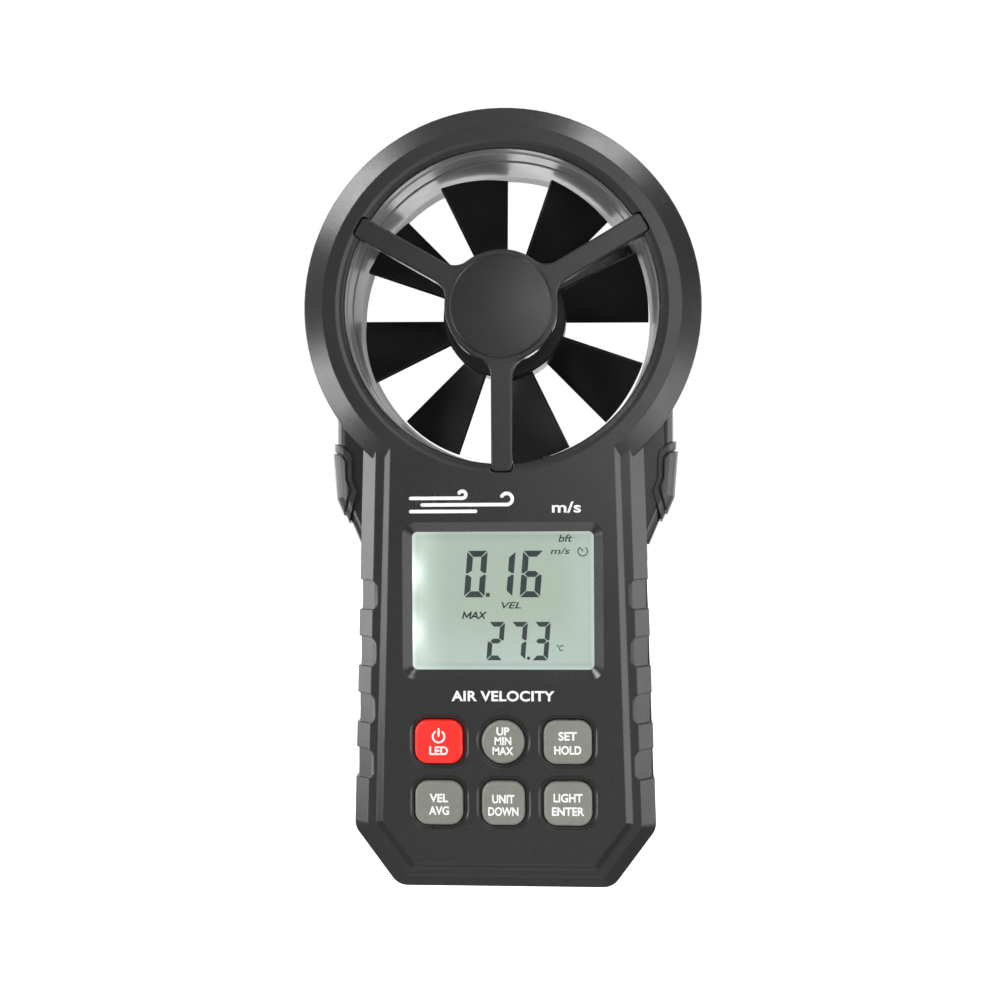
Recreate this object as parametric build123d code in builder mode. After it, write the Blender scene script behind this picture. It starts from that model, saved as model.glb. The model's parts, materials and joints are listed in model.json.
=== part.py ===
"""Handheld vane anemometer: a keypad and display body with a ducted impeller on top.

+Z is up, the display faces -Y and +X is to the reader's right. The origin is at the
middle of the case's bottom edge, half-way through its depth. Lengths in millimetres.

Names starting with Y_ are places along the depth. Unless noted, a sketch lies at the
rear of its solid or cut and is extruded forward, so an amount reads rear - front.
"""
from build123d import *
import os
from math import sin, cos, tan, radians, sqrt

os.makedirs("parts", exist_ok=True)

# ---------------------------------------------------------------- driving dimensions
DEPTH = 41.0                    # overall depth, key tops to back
Y_KEY = -DEPTH / 2              # tops of the keys
Y_BACK = DEPTH / 2              # back of the case
Y_BEHIND = Y_BACK + 1           # clear of the back, where rear cuts start
Y_FACE = -19.3                  # raised front plateau and flat face of the ring
Y_SHELF = -18.2                 # shelf around the plateau
Y_FLANK = -14.6                 # rear edge of the sloping flanks
Y_WALL_IN = -17.0               # inside of the front wall
Y_PART = -9.0                   # parting plane of the two case halves
PART_GAP = 0.10                 # gap at the parting plane
PART_STEP = 0.35                # depth and width of the parting groove
Y_FRONT_HALF = Y_PART - PART_GAP / 2    # rear edge of the front half
Y_REAR_HALF = Y_PART + PART_GAP / 2     # front edge of the rear half
WALL = 2.2                      # case wall

RING_Z = 142.1                  # height of the duct axis
RING_R = 48.6                   # outside radius of the ring
RING_FLAT_R = 43.7              # outside radius of its flat face
RING_LIP_R = 40.5               # where the flat face turns into the lip
LIP_R = 38.3                    # inside radius of the lip
Y_LIP = -18.3                   # rear of the lip
BORE_R = 39.65                  # bore that takes the duct sleeves
SLEEVE_R = BORE_R - 0.05        # outside radius of the sleeves
DUCT_R = 38.2                   # inside radius of the duct
Y_CONE = -17.5                  # rear edge of the ring's conical band
Y_RING_BACK = 13.5              # back of the ring
RING_HOLLOW_R = (42.2, 46.3)    # inside and outside radius of the hollow in the ring
RING_ROOM_R = 43.0              # body is cut away inside this radius

HALF_AT_80 = 35.3               # half width of the body 80.1 mm up
DRAFT = 0.0275                  # half width gained per mm going down
TOP_Z = 112.0                   # where the body runs out inside the ring
HUMP_TOP_Z = 103.5              # top of the body behind the ring
Y_HUMP = 15.6                   # where the back starts to slope in
BACK_BEVEL = 4.6                # how far the back slopes in

GUARD_ARM_W = 5.2               # width of the guard arms
GUARD_ANGLES = (30, 150, 270)   # arm directions, seen from the front
GUARD_HUB_R = 13.85
GUARD_REACH = 40.3              # length of the front arms from the duct axis
REAR_GUARD_REACH = GUARD_REACH + 0.4
Y_FRONT_POCKET = -15.2          # rear of the pockets for the front arms
Y_REAR_POCKET = 10.15           # front of the pockets for the rear arms

BLADES = 8
BLADE_NEAR = 26.5               # angle of a blade's front edge
BLADE_SPAN = 27.7               # angle a blade covers
BLADE_TIP_R = 37.4
BLADE_Y0, BLADE_Y1 = 0.7, 9.6   # front and rear edges of the blades
BLADE_T = 0.9
ROTOR_HUB_R = 15.75
SHAFT_R = 0.75
MAGNET_AT = (8.0, 0.0)          # magnet and its sensor, from the duct axis
MAGNET_R = 2.0
MAGNET_T = 2.0
Y_MAGNET = 8.6                  # rear of the magnet

LCD_Z = 70.5                    # middle of the display
LCD_UPPER_Z = LCD_Z + 1.4       # middle of the layers that sit higher
BEZEL_W, BEZEL_H, BEZEL_R = 48.8, 38.4, 3.4
VIEW_W, VIEW_H, VIEW_R = 44.3, 33.6, 1.3

KEY_PITCH = 15.6                # column pitch of the keys
KEY_Z = (36.5, 21.7)            # heights of the two rows
KEY_W, KEY_H, KEY_R = 11.6, 10.5, 3.1
KEY_MID_W = 10.4                # middle column
KEY_GAP = 0.4
KEY_TRAVEL = 0.8
Y_FLANGE = Y_WALL_IN + 1.16     # rear of the key flanges

Y_BOARD = -9.3                  # front of the circuit board
BOARD_T = 1.6
Y_BOARD_BACK = Y_BOARD + BOARD_T

BAT_W, BAT_H, BAT_T = 26.5, 48.5, 17.5   # 9 V block
BAT_CASE_H = BAT_H - 2.2        # height without the terminals
BAT_Z = 5.2                     # bottom of the battery
BAT_TOP_Z = BAT_Z + BAT_CASE_H
Y_BAT = 0.9                     # front of the battery
Y_BAT_MID = Y_BAT + BAT_T / 2
DOOR_HALF, DOOR_TOP = 16.5, 68.0
DOOR_T = 1.9
RAIL_TOP = DOOR_TOP - 6         # top of the door's side rails
TRIPOD_Z = 80.5
TRIPOD_R = 2.55                 # wall of the 1/4-20 tapped hole
TRIPOD_DEPTH = 8.0
INSERT_R = 5.0

# screw places as (x, z)
CASE_SCREWS = ((-27.0, 20.0), (27.0, 20.0), (-27.0, 93.6), (27.0, 93.6))
BOARD_SCREWS = ((-23.6, 47.0), (23.6, 47.0), (-19.8, 12.4), (19.8, 12.4))
CASE_SCREW_R = 1.25
BOARD_SCREW_R = 0.9
Y_SCREW_SEAT = 4.0              # underside of the case screw heads

LEAD_Y = 11.3                   # depth of the sensor lead
LEAD_R = 0.85
LEAD_Z = 88.3                   # height where the lead turns to the board
BEAD_ANGLE = radians(305)       # where the temperature bead sits in the duct
BEAD_Y = -3.6

duct_axis = Axis((0, 0, RING_Z), (0, 1, 0))

# name: (x, z, width, height, corner radius); no corner radius means a round key
KEYS = {
    "power_key": (-KEY_PITCH, KEY_Z[0], KEY_W, KEY_H, KEY_R),
    "max_min_key": (0.0, KEY_Z[0], KEY_MID_W, KEY_MID_W, None),
    "hold_key": (KEY_PITCH, KEY_Z[0], KEY_W, KEY_H, KEY_R),
    "average_key": (-KEY_PITCH, KEY_Z[1], KEY_W, KEY_H, KEY_R),
    "unit_key": (0.0, KEY_Z[1], KEY_MID_W, KEY_H, KEY_R),
    "light_key": (KEY_PITCH, KEY_Z[1], KEY_W, KEY_H, KEY_R),
}

# Levels of the front: side inset, (x, z) of the shoulder of the lower corner cut,
# (x, z) of its foot, corner radius.
SILHOUETTE = (0.0, (37.1, 14.4), (26.4, 0.0), 4.6)
SHELF_OUT = (3.7, (33.4, 15.7), (24.4, 3.5), 1.8)
STRIP_OUT = (5.9, (31.2, 16.4), (22.8, 5.3), 1.0)
PLATEAU = (7.4, (29.6, 16.9), (21.9, 6.7), 0.8)


# ---------------------------------------------------------------- helpers
def front(y):
    """Plane square to the depth axis at y, seen from the front."""
    return Plane.XZ.offset(-y)


def ring_front(y):
    """The same, centred on the duct axis."""
    return Plane(origin=(0, y, RING_Z), x_dir=(1, 0, 0), z_dir=(0, -1, 0))


def bead_plane(radius):
    """Plane across the temperature bead's hole, at a radius from the duct axis."""
    across, up = cos(BEAD_ANGLE), sin(BEAD_ANGLE)
    return Plane(origin=(radius * across, BEAD_Y, RING_Z + radius * up),
                 x_dir=(0, 1, 0), z_dir=(across, 0, up))


def half_width(z):
    return HALF_AT_80 + DRAFT * (80.1 - z)


def body_outline(level, inset=0.0, top=TOP_Z):
    """One level of the body's outline, as a face with rounded lower corners."""
    side_inset, (shoulder_x, shoulder_z), (foot_x, foot_z), corner_r = level
    top_x = half_width(top) - side_inset - inset
    run, rise = shoulder_x - foot_x, shoulder_z - foot_z
    lean = (sqrt(run * run + rise * rise) - run) / rise
    low_x, low_z = foot_x - lean * inset, foot_z + inset
    side_x = shoulder_x - inset
    side_z = low_z + (side_x - low_x) * rise / run
    points = [(top_x, top), (side_x, side_z), (low_x, low_z),
              (-low_x, low_z), (-side_x, side_z), (-top_x, top)]
    face = Face(Wire.make_polygon(points, close=True))
    lower = [v for v in face.vertices() if v.Y < top - 1]
    return face.fillet_2d(max(corner_r - inset, 0.4), lower)


def ring_profile(points):
    """Face given as (y, radius) pairs, to be revolved about the duct axis."""
    return Face(Wire.make_polygon([(y, RING_Z + radius) for y, radius in points], close=True))


def band(half, low, high):
    """Rectangle centred on x = 0, between two heights."""
    with Locations((0, (low + high) / 2)):
        Rectangle(2 * half, high - low)


def key_plan(width, height, corner_r, grow=0.0):
    if corner_r is None:
        Circle(width / 2 + grow)
    else:
        RectangleRounded(width + 2 * grow, height + 2 * grow, corner_r + grow)


def arm_footprint(reach, width, end_r):
    """The three guard arms, each starting at the duct axis."""
    for angle in GUARD_ANGLES:
        with Locations(Location((0, 0), angle)):
            with Locations((reach / 2, 0)):
                RectangleRounded(reach, width, end_r)


def pocket_plan(reach):
    """Pockets that the ends of the guard arms sit in."""
    arm_footprint(reach + 0.15, GUARD_ARM_W + 0.3, 1.2)


def guard_plan(reach):
    """Guard arms and hub, with the corners between them rounded."""
    arm_footprint(reach, GUARD_ARM_W, 1.1)
    Circle(GUARD_HUB_R)
    fillet([v for v in vertices() if 10 < sqrt(v.X ** 2 + v.Y ** 2) < 16], radius=4.6)


def cross_slot(length, width):
    Rectangle(length, width)
    Rectangle(width, length)


def save(piece, name):
    piece.part.label = name
    export_step(piece.part, "parts/%s.step" % name)


# ---------------------------------------------------------------- front case
FRONT_HOLLOW_TOP = 92.0
Y_HOLLOW_STEP = -13.2           # front of the wider step of the hollow
Y_KEY_CUT = -15.0               # rear of the cuts for keys and display
KEY_RIM_DEPTH = 0.22
NOTCH_Z = (71.9, 58.0, 44.1, 30.6)
NOTCH_H = 7.3
# finger notch: (x from the body's edge, outward; y)
NOTCH_PROFILE = ((-0.62, -10.6), (-0.62, -14.35), (-4.10, -17.72), (-4.85, -17.95),
                 (-4.85, -19.0), (3, -19.0), (3, -10.6))
# lip, flat face, conical band and outer wall of the ring: (y, radius)
FRONT_RING = [
    (Y_LIP, LIP_R), (-18.85, LIP_R + 0.4), (Y_FACE + 0.12, LIP_R + 1.3), (Y_FACE, RING_LIP_R),
    (Y_FACE, RING_FLAT_R), (Y_CONE, RING_R - 0.15), (Y_CONE + 0.5, RING_R),
    (Y_FRONT_HALF - PART_STEP, RING_R), (Y_FRONT_HALF - PART_STEP, RING_R - PART_STEP),
    (Y_FRONT_HALF, RING_R - PART_STEP), (Y_FRONT_HALF, BORE_R), (Y_LIP, BORE_R), (Y_LIP, LIP_R)]
FRONT_RING_HOLLOW = [
    (Y_FRONT_HALF + 1, RING_HOLLOW_R[0]), (Y_FRONT_HALF + 1, RING_HOLLOW_R[1]),
    (-16.4, RING_HOLLOW_R[1]), (-17.2, 44.2), (-17.2, RING_HOLLOW_R[0])]

with BuildPart() as front_case:
    # side wall, with the narrow step that leaves the parting groove
    with BuildSketch(front(Y_FRONT_HALF)):
        add(body_outline(SILHOUETTE, inset=PART_STEP))
    extrude(amount=PART_STEP)
    with BuildSketch(front(Y_FRONT_HALF - PART_STEP)):
        add(body_outline(SILHOUETTE))
    extrude(amount=Y_FRONT_HALF - PART_STEP - Y_FLANK)
    # sloping flanks up to the shelf
    with BuildSketch(front(Y_FLANK)):
        add(body_outline(SILHOUETTE))
    with BuildSketch(front(Y_SHELF)):
        add(body_outline(SHELF_OUT))
    loft(ruled=True)
    # bevel strip and plateau
    with BuildSketch(front(Y_SHELF)):
        add(body_outline(STRIP_OUT))
    with BuildSketch(front(Y_FACE)):
        add(body_outline(PLATEAU))
    loft(ruled=True)
    # hollow for the works, in two steps so that the flanks keep their wall
    for inset, y_end in ((WALL, Y_HOLLOW_STEP), (5.6, Y_WALL_IN)):
        with BuildSketch(front(Y_PART + 1)):
            add(body_outline(SILHOUETTE, inset=inset, top=FRONT_HOLLOW_TOP))
        extrude(amount=Y_PART + 1 - y_end, mode=Mode.SUBTRACT)
    # room for the ring
    with BuildSketch(ring_front(0)):
        Circle(RING_ROOM_R)
    extrude(amount=30, mode=Mode.SUBTRACT)
    with BuildSketch(Plane.YZ):
        add(ring_profile(FRONT_RING))
    revolve(axis=duct_axis)
    with BuildSketch(Plane.YZ):
        add(ring_profile(FRONT_RING_HOLLOW))
    revolve(axis=duct_axis, mode=Mode.SUBTRACT)
    # pockets for the ends of the front guard
    with BuildSketch(ring_front(Y_FRONT_POCKET)):
        pocket_plan(GUARD_REACH)
    extrude(amount=6, mode=Mode.SUBTRACT)
    # bevelled bezel, opening and window seat of the display
    with BuildSketch(front(Y_FACE)):
        with Locations((0, LCD_Z)):
            RectangleRounded(BEZEL_W, BEZEL_H, BEZEL_R)
    with BuildSketch(front(-17.85)):
        with Locations((0, LCD_Z)):
            RectangleRounded(VIEW_W, VIEW_H, VIEW_R)
    loft(ruled=True, mode=Mode.SUBTRACT)
    with BuildSketch(front(Y_KEY_CUT)):
        with Locations((0, LCD_Z)):
            RectangleRounded(VIEW_W, VIEW_H, VIEW_R)
    extrude(amount=3, mode=Mode.SUBTRACT)
    with BuildSketch(front(-16)):
        with Locations((0, LCD_Z)):
            RectangleRounded(48.2, 37.6, 1.6)
    extrude(amount=1.5, mode=Mode.SUBTRACT)
    # key openings, each with a shallow dished rim
    for key_x, key_z, *plan in KEYS.values():
        with BuildSketch(front(Y_FACE + KEY_RIM_DEPTH)):
            with Locations((key_x, key_z)):
                key_plan(*plan, grow=KEY_GAP + 0.45)
        with BuildSketch(front(Y_FACE)):
            with Locations((key_x, key_z)):
                key_plan(*plan, grow=KEY_GAP + 0.95)
        loft(ruled=True, mode=Mode.SUBTRACT)
        with BuildSketch(front(Y_KEY_CUT)):
            with Locations((key_x, key_z)):
                key_plan(*plan, grow=KEY_GAP)
        extrude(amount=8, mode=Mode.SUBTRACT)
    # finger notches in the flanks, with rounded corners seen from the front
    for side in (-1, 1):
        for notch_z in NOTCH_Z:
            edge = half_width(notch_z)
            with BuildSketch(Plane.XY.offset(notch_z - NOTCH_H / 2)):
                with BuildLine():
                    Polyline(*[(side * (edge + out), y) for out, y in NOTCH_PROFILE], close=True)
                make_face()
            notch = extrude(amount=NOTCH_H, mode=Mode.PRIVATE)
            with BuildSketch(front(-5), mode=Mode.PRIVATE) as window:
                with Locations((side * (edge + 0.15), notch_z)):
                    RectangleRounded(10.0, NOTCH_H, 1.9)
            window_block = extrude(window.sketch, amount=20, mode=Mode.PRIVATE)
            add(notch & window_block, mode=Mode.SUBTRACT)
    # bosses for the case screws and the circuit board, then their holes
    with BuildSketch(front(Y_FRONT_HALF)):
        with Locations(*CASE_SCREWS):
            Circle(3.0)
    extrude(amount=Y_FRONT_HALF - Y_WALL_IN + 0.02)
    with BuildSketch(front(Y_BOARD - 0.03)):
        with Locations(*BOARD_SCREWS):
            Circle(2.2)
    extrude(amount=Y_BOARD - Y_WALL_IN)
    with BuildSketch(front(Y_PART)):
        with Locations(*CASE_SCREWS):
            Circle(CASE_SCREW_R)
    extrude(amount=5.5, mode=Mode.SUBTRACT)
    with BuildSketch(front(Y_BOARD)):
        with Locations(*BOARD_SCREWS):
            Circle(BOARD_SCREW_R)
    extrude(amount=5.0, mode=Mode.SUBTRACT)
save(front_case, "front_case")

# ---------------------------------------------------------------- rear case, outside
SHOULDER_IN_X = 30.0            # inner side of the shoulders, inside the body
# outer face of the right shoulder, going up: (x, z)
SHOULDER_FACE = ((34.7, 80.0), (36.3, 83.6), (41.4, 95.5), (42.4, 108.0), (42.4, 122.0))
SHOULDER_ROUND = 2.8            # round along the front rim
BLOCK_TOP_Z = 118.0
Y_BLOCK_BACK = 13.0
REAR_RING = [                   # (y, radius)
    (Y_REAR_HALF, BORE_R), (Y_REAR_HALF, RING_R - PART_STEP),
    (Y_REAR_HALF + PART_STEP, RING_R - PART_STEP), (Y_REAR_HALF + PART_STEP, RING_R),
    (8.5, RING_R), (11.6, 47.6), (Y_RING_BACK, 44.9), (Y_RING_BACK, 40.6), (12.6, BORE_R)]


def shoulder_block(side):
    """Shoulder behind the flank; side is -1 for left, 1 for right."""
    low, middle, high = SHOULDER_FACE[1:4]
    points = [(SHOULDER_IN_X, BLOCK_TOP_Z), (high[0], BLOCK_TOP_Z), high, middle, low,
              (SHOULDER_IN_X, low[1])]
    with BuildPart() as block:
        with BuildSketch(front(Y_BLOCK_BACK)):
            with BuildLine():
                Polyline(*[(side * x, z) for x, z in points], close=True)
            make_face()
        extrude(amount=Y_BLOCK_BACK - Y_REAR_HALF)
        rim = block.edges().group_by(Axis.Y)[0].filter_by(
            lambda e: abs(e.center().X) > 33 and e.center().Z < 117)
        fillet(rim, radius=SHOULDER_ROUND)
        back = block.edges().group_by(Axis.Y)[-1].filter_by(lambda e: abs(e.center().X) > 33)
        chamfer(back, length=3.0)
    return block.part


left_block = shoulder_block(-1)
right_block = shoulder_block(1)

# rear half without openings; the battery door is cut from it too
with BuildPart() as rear_outer:
    with BuildSketch(front(Y_REAR_HALF + PART_STEP)):
        add(body_outline(SILHOUETTE, inset=PART_STEP))
    extrude(amount=PART_STEP)
    with BuildSketch(front(Y_RING_BACK - 0.5)):
        add(body_outline(SILHOUETTE))
    extrude(amount=Y_RING_BACK - 0.5 - Y_REAR_HALF - PART_STEP)
    # deeper back below the ring, sloping in at its edges
    with BuildSketch(front(Y_HUMP)):
        add(body_outline(SILHOUETTE, top=HUMP_TOP_Z))
    extrude(amount=4)
    with BuildSketch(front(Y_HUMP)):
        add(body_outline(SILHOUETTE, top=HUMP_TOP_Z))
    with BuildSketch(front(Y_BACK)):
        add(body_outline(SILHOUETTE, inset=BACK_BEVEL, top=98.6))
    loft(ruled=True)
    with BuildSketch(ring_front(30)):
        Circle(46.6)
    extrude(amount=30 - Y_RING_BACK - 0.1, mode=Mode.SUBTRACT)
    add(left_block)
    add(right_block)
    # room for the ring, then the ring
    with BuildSketch(ring_front(30)):
        Circle(RING_ROOM_R)
    extrude(amount=60, mode=Mode.SUBTRACT)
    with BuildSketch(Plane.YZ):
        add(ring_profile(REAR_RING))
    revolve(axis=duct_axis)

# ---------------------------------------------------------------- rear case
Y_HOLLOW_BACK = 13.0            # rear of the wider step of the hollow
Y_STUB = Y_BACK - 0.6           # where the well and the tripod boss start
Y_POST = 16.6                   # rear of the wide screw posts
REAR_RING_HOLLOW = [            # (y, radius)
    (-12, RING_HOLLOW_R[0]), (-12, RING_HOLLOW_R[1]), (8.5, RING_HOLLOW_R[1]),
    (10.6, 44.5), (11.2, RING_HOLLOW_R[0])]

with BuildPart() as rear_case:
    add(rear_outer.part)
    # hollow for the works, in two steps
    with BuildSketch(front(Y_HOLLOW_BACK)):
        add(body_outline(SILHOUETTE, inset=WALL, top=91.5))
    extrude(amount=30, mode=Mode.SUBTRACT)
    with BuildSketch(front(Y_BACK - WALL)):
        add(body_outline(SILHOUETTE, inset=WALL + BACK_BEVEL, top=90.5))
    extrude(amount=10, mode=Mode.SUBTRACT)
    with BuildSketch(Plane.YZ):
        add(ring_profile(REAR_RING_HOLLOW))
    revolve(axis=duct_axis, mode=Mode.SUBTRACT)
    # battery well
    with BuildSketch(front(Y_STUB)):
        band(half=15.6, low=1.8, high=69.0)
    extrude(amount=Y_STUB + 1.0)
    # tripod boss
    with BuildSketch(front(Y_STUB)):
        with Locations((0, TRIPOD_Z)):
            Circle(6.5)
    extrude(amount=Y_STUB - 10.0)
    # screw posts, thinner towards the parting plane
    with BuildSketch(front(Y_POST)):
        with Locations(*CASE_SCREWS):
            Circle(4.3)
    extrude(amount=Y_POST - 1.0)
    with BuildSketch(front(2)):
        with Locations(*CASE_SCREWS):
            Circle(3.1)
    extrude(amount=2 - Y_REAR_HALF)
    # trim all that to the outside shape
    add(rear_outer.part, mode=Mode.INTERSECT)
    # inside of the battery well
    with BuildSketch(front(Y_BEHIND)):
        band(half=14.1, low=3.6, high=67.0)
    extrude(amount=Y_BEHIND - 0.4, mode=Mode.SUBTRACT)
    # seat of the door, with a groove each side for its rails
    with BuildSketch(front(Y_BEHIND)):
        band(half=DOOR_HALF + 0.12, low=-5, high=DOOR_TOP + 0.15)
    extrude(amount=1 + DOOR_T + 0.08, mode=Mode.SUBTRACT)
    with BuildSketch(front(Y_BACK - DOOR_T + 0.98)):
        band(half=DOOR_HALF + 1.30, low=-5, high=RAIL_TOP + 0.15)
    extrude(amount=1.06, mode=Mode.SUBTRACT)
    # tripod insert seat
    with BuildSketch(front(Y_BEHIND)):
        with Locations((0, TRIPOD_Z)):
            Circle(INSERT_R)
    extrude(amount=1 + 9.0, mode=Mode.SUBTRACT)
    # screw counterbores and holes
    with BuildSketch(front(Y_BEHIND)):
        with Locations(*CASE_SCREWS):
            Circle(3.1)
    extrude(amount=Y_BEHIND - Y_SCREW_SEAT, mode=Mode.SUBTRACT)
    with BuildSketch(front(5)):
        with Locations(*CASE_SCREWS):
            Circle(1.65)
    extrude(amount=20, mode=Mode.SUBTRACT)
    # pockets for the ends of the rear guard
    with BuildSketch(ring_front(15)):
        pocket_plan(REAR_GUARD_REACH)
    extrude(amount=15 - Y_REAR_POCKET, mode=Mode.SUBTRACT)
    # cable passage from the lower guard arm into the body
    with BuildSketch(Plane.XY.offset(89)):
        with Locations((0, LEAD_Y)):
            Circle(1.3)
    extrude(amount=16, mode=Mode.SUBTRACT)
    # hole for the temperature bead
    with BuildSketch(bead_plane(30)):
        Circle(1.4)
    extrude(amount=13, mode=Mode.SUBTRACT)
save(rear_case, "rear_case")

# ---------------------------------------------------------------- shoulder pads
# Each wraps the rounded front corner of a shoulder: a thin rim with a thicker
# pad inside it, parted by a narrow groove. Outlines as (x, z), right side.
RIM_LINE = [(48, 109.4), (42.8, 109.4), (40.8, 108.7), (38.7, 107.0), (38.3, 105.6),
            (38.3, 100.2), (37.0, 97.2), (39.6, 88.6), (48, 84.0)]
PAD_LINE = [(48, 106.9), (42.8, 106.9), (40.9, 106.3), (39.9, 105.0), (39.8, 100.4),
            (38.8, 98.0), (40.9, 90.6), (48, 88.0)]
GROOVE_LINE = [(48, 107.4), (42.8, 107.4), (40.6, 106.7), (39.45, 105.2), (39.35, 100.5),
               (38.3, 98.0), (40.6, 90.0), (48, 87.4)]
Y_SKIN_BACK = 14.0
ROUND_FACETS = 6
Y_RIM_BACK = 9.6
Y_PAD_BACK = 7.6
Y_GROOVE_BACK = 8.4


def shoulder_section(side, off, inset):
    """Section through a shoulder, its outer faces moved out by off and back in by inset."""
    points = [(SHOULDER_IN_X, 80.0), *[(x + off, z) for x, z in SHOULDER_FACE],
              (SHOULDER_IN_X, 122.0)]
    moved = [points[0]]
    for before, here, after in zip(points[:-2], points[1:-1], points[2:]):
        # meeting point of the two edges at this corner, each moved in by inset
        run1, rise1 = here[0] - before[0], here[1] - before[1]
        run2, rise2 = after[0] - here[0], after[1] - here[1]
        length1, length2 = sqrt(run1 ** 2 + rise1 ** 2), sqrt(run2 ** 2 + rise2 ** 2)
        normal1 = (-rise1 / length1, run1 / length1)
        normal2 = (-rise2 / length2, run2 / length2)
        shift = inset / (1 + normal1[0] * normal2[0] + normal1[1] * normal2[1])
        moved.append((here[0] + shift * (normal1[0] + normal2[0]),
                      here[1] + shift * (normal1[1] + normal2[1])))
    moved.append(points[-1])
    return Face(Wire.make_polygon([(side * x, z) for x, z in moved], close=True))


def shoulder_skin(side, off, ahead, round_r):
    """Shoulder grown by off, starting ahead of the rear half, its front rim faceted round."""
    y_start = Y_REAR_HALF - ahead
    levels = []                 # (y, inset), front to rear
    for i in range(ROUND_FACETS, -1, -1):
        angle = radians(90 * i / ROUND_FACETS)
        levels.append((y_start + round_r * (1 - sin(angle)), round_r * (1 - cos(angle))))
    with BuildPart() as block:
        for (front_y, front_inset), (rear_y, rear_inset) in zip(levels[:-1], levels[1:]):
            with BuildSketch(front(front_y)):
                add(shoulder_section(side, off, front_inset))
            with BuildSketch(front(rear_y)):
                add(shoulder_section(side, off, rear_inset))
            loft(ruled=True)
        with BuildSketch(front(Y_SKIN_BACK)):
            add(shoulder_section(side, off, 0.0))
        extrude(amount=Y_SKIN_BACK - levels[-1][0])
    return block.part


def prism(line, side, y_front, y_rear):
    with BuildPart() as block:
        with BuildSketch(front(y_rear)):
            with BuildLine():
                Polyline(*[(side * x, z) for x, z in line], close=True)
            make_face()
        extrude(amount=y_rear - y_front)
    return block.part


def shoulder_pad(side):
    base = shoulder_skin(side, off=0.12, ahead=0.08, round_r=SHOULDER_ROUND)
    web = shoulder_skin(side, off=0.45, ahead=0.35, round_r=2.95)
    low = shoulder_skin(side, off=0.80, ahead=0.75, round_r=3.6)
    high = shoulder_skin(side, off=1.35, ahead=1.30, round_r=4.6)
    rim = low & prism(RIM_LINE, side, -14, Y_RIM_BACK)
    groove = prism(GROOVE_LINE, side, -15, Y_GROOVE_BACK) - prism(PAD_LINE, side, -15, Y_PAD_BACK)
    groove = groove - web
    pad = high & prism(PAD_LINE, side, -14, Y_PAD_BACK)
    return ((rim + pad) - groove) - base


for side_name, side in (("left", -1), ("right", 1)):
    with BuildPart() as pad_piece:
        add(shoulder_pad(side))
    save(pad_piece, side_name + "_shoulder_pad")

# ---------------------------------------------------------------- duct sleeves
# sections as (y, radius)
FRONT_SLEEVE = [
    (-17.1, DUCT_R + 0.35), (-14.3, DUCT_R + 0.30), (-14.1, DUCT_R + 0.02), (-8.1, DUCT_R),
    (-7.9, DUCT_R + 0.2), (-7.9, SLEEVE_R), (-17.1, SLEEVE_R)]
REAR_SLEEVE = [
    (-6.1, DUCT_R + 0.2), (-5.9, DUCT_R), (2.2, DUCT_R), (2.35, DUCT_R + 0.12),
    (8.0, DUCT_R + 0.12), (12.1, DUCT_R - 0.3), (12.4, DUCT_R - 0.1), (12.4, SLEEVE_R),
    (-6.1, SLEEVE_R)]

with BuildPart() as front_duct_sleeve:
    with BuildSketch(Plane.YZ):
        add(ring_profile(FRONT_SLEEVE))
    revolve(axis=duct_axis)
    with BuildSketch(ring_front(Y_FRONT_POCKET)):
        pocket_plan(GUARD_REACH)
    extrude(amount=6, mode=Mode.SUBTRACT)
save(front_duct_sleeve, "front_duct_sleeve")

with BuildPart() as rear_duct_sleeve:
    with BuildSketch(Plane.YZ):
        add(ring_profile(REAR_SLEEVE))
    revolve(axis=duct_axis)
    with BuildSketch(ring_front(15)):
        pocket_plan(REAR_GUARD_REACH)
    extrude(amount=15 - Y_REAR_POCKET, mode=Mode.SUBTRACT)
    # hole for the temperature bead
    with BuildSketch(bead_plane(30)):
        Circle(1.3)
    extrude(amount=12, mode=Mode.SUBTRACT)
save(rear_duct_sleeve, "rear_duct_sleeve")

# ---------------------------------------------------------------- guards
DISC_R = 12.5                   # disc on the front hub
Y_DISC_BACK = -17.6
Y_DOME = -20.25                 # top of the disc's domed face
DOME_EDGE_R = 12.1
DOME_RISE = 0.5
DOME_MID_R = 6                  # where the arc's middle point is taken
dome_sphere_r = (DOME_EDGE_R ** 2 + DOME_RISE ** 2) / (2 * DOME_RISE)
y_dome_mid = Y_DOME + dome_sphere_r - sqrt(dome_sphere_r ** 2 - DOME_MID_R ** 2)
y_dome_edge = Y_DOME + DOME_RISE
FRONT_BEARING_R = 2.5
REAR_BEARING_R = 2.2
Y_REAR_BEARING = 12.6           # rear of the rear bearing and its boss

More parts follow.
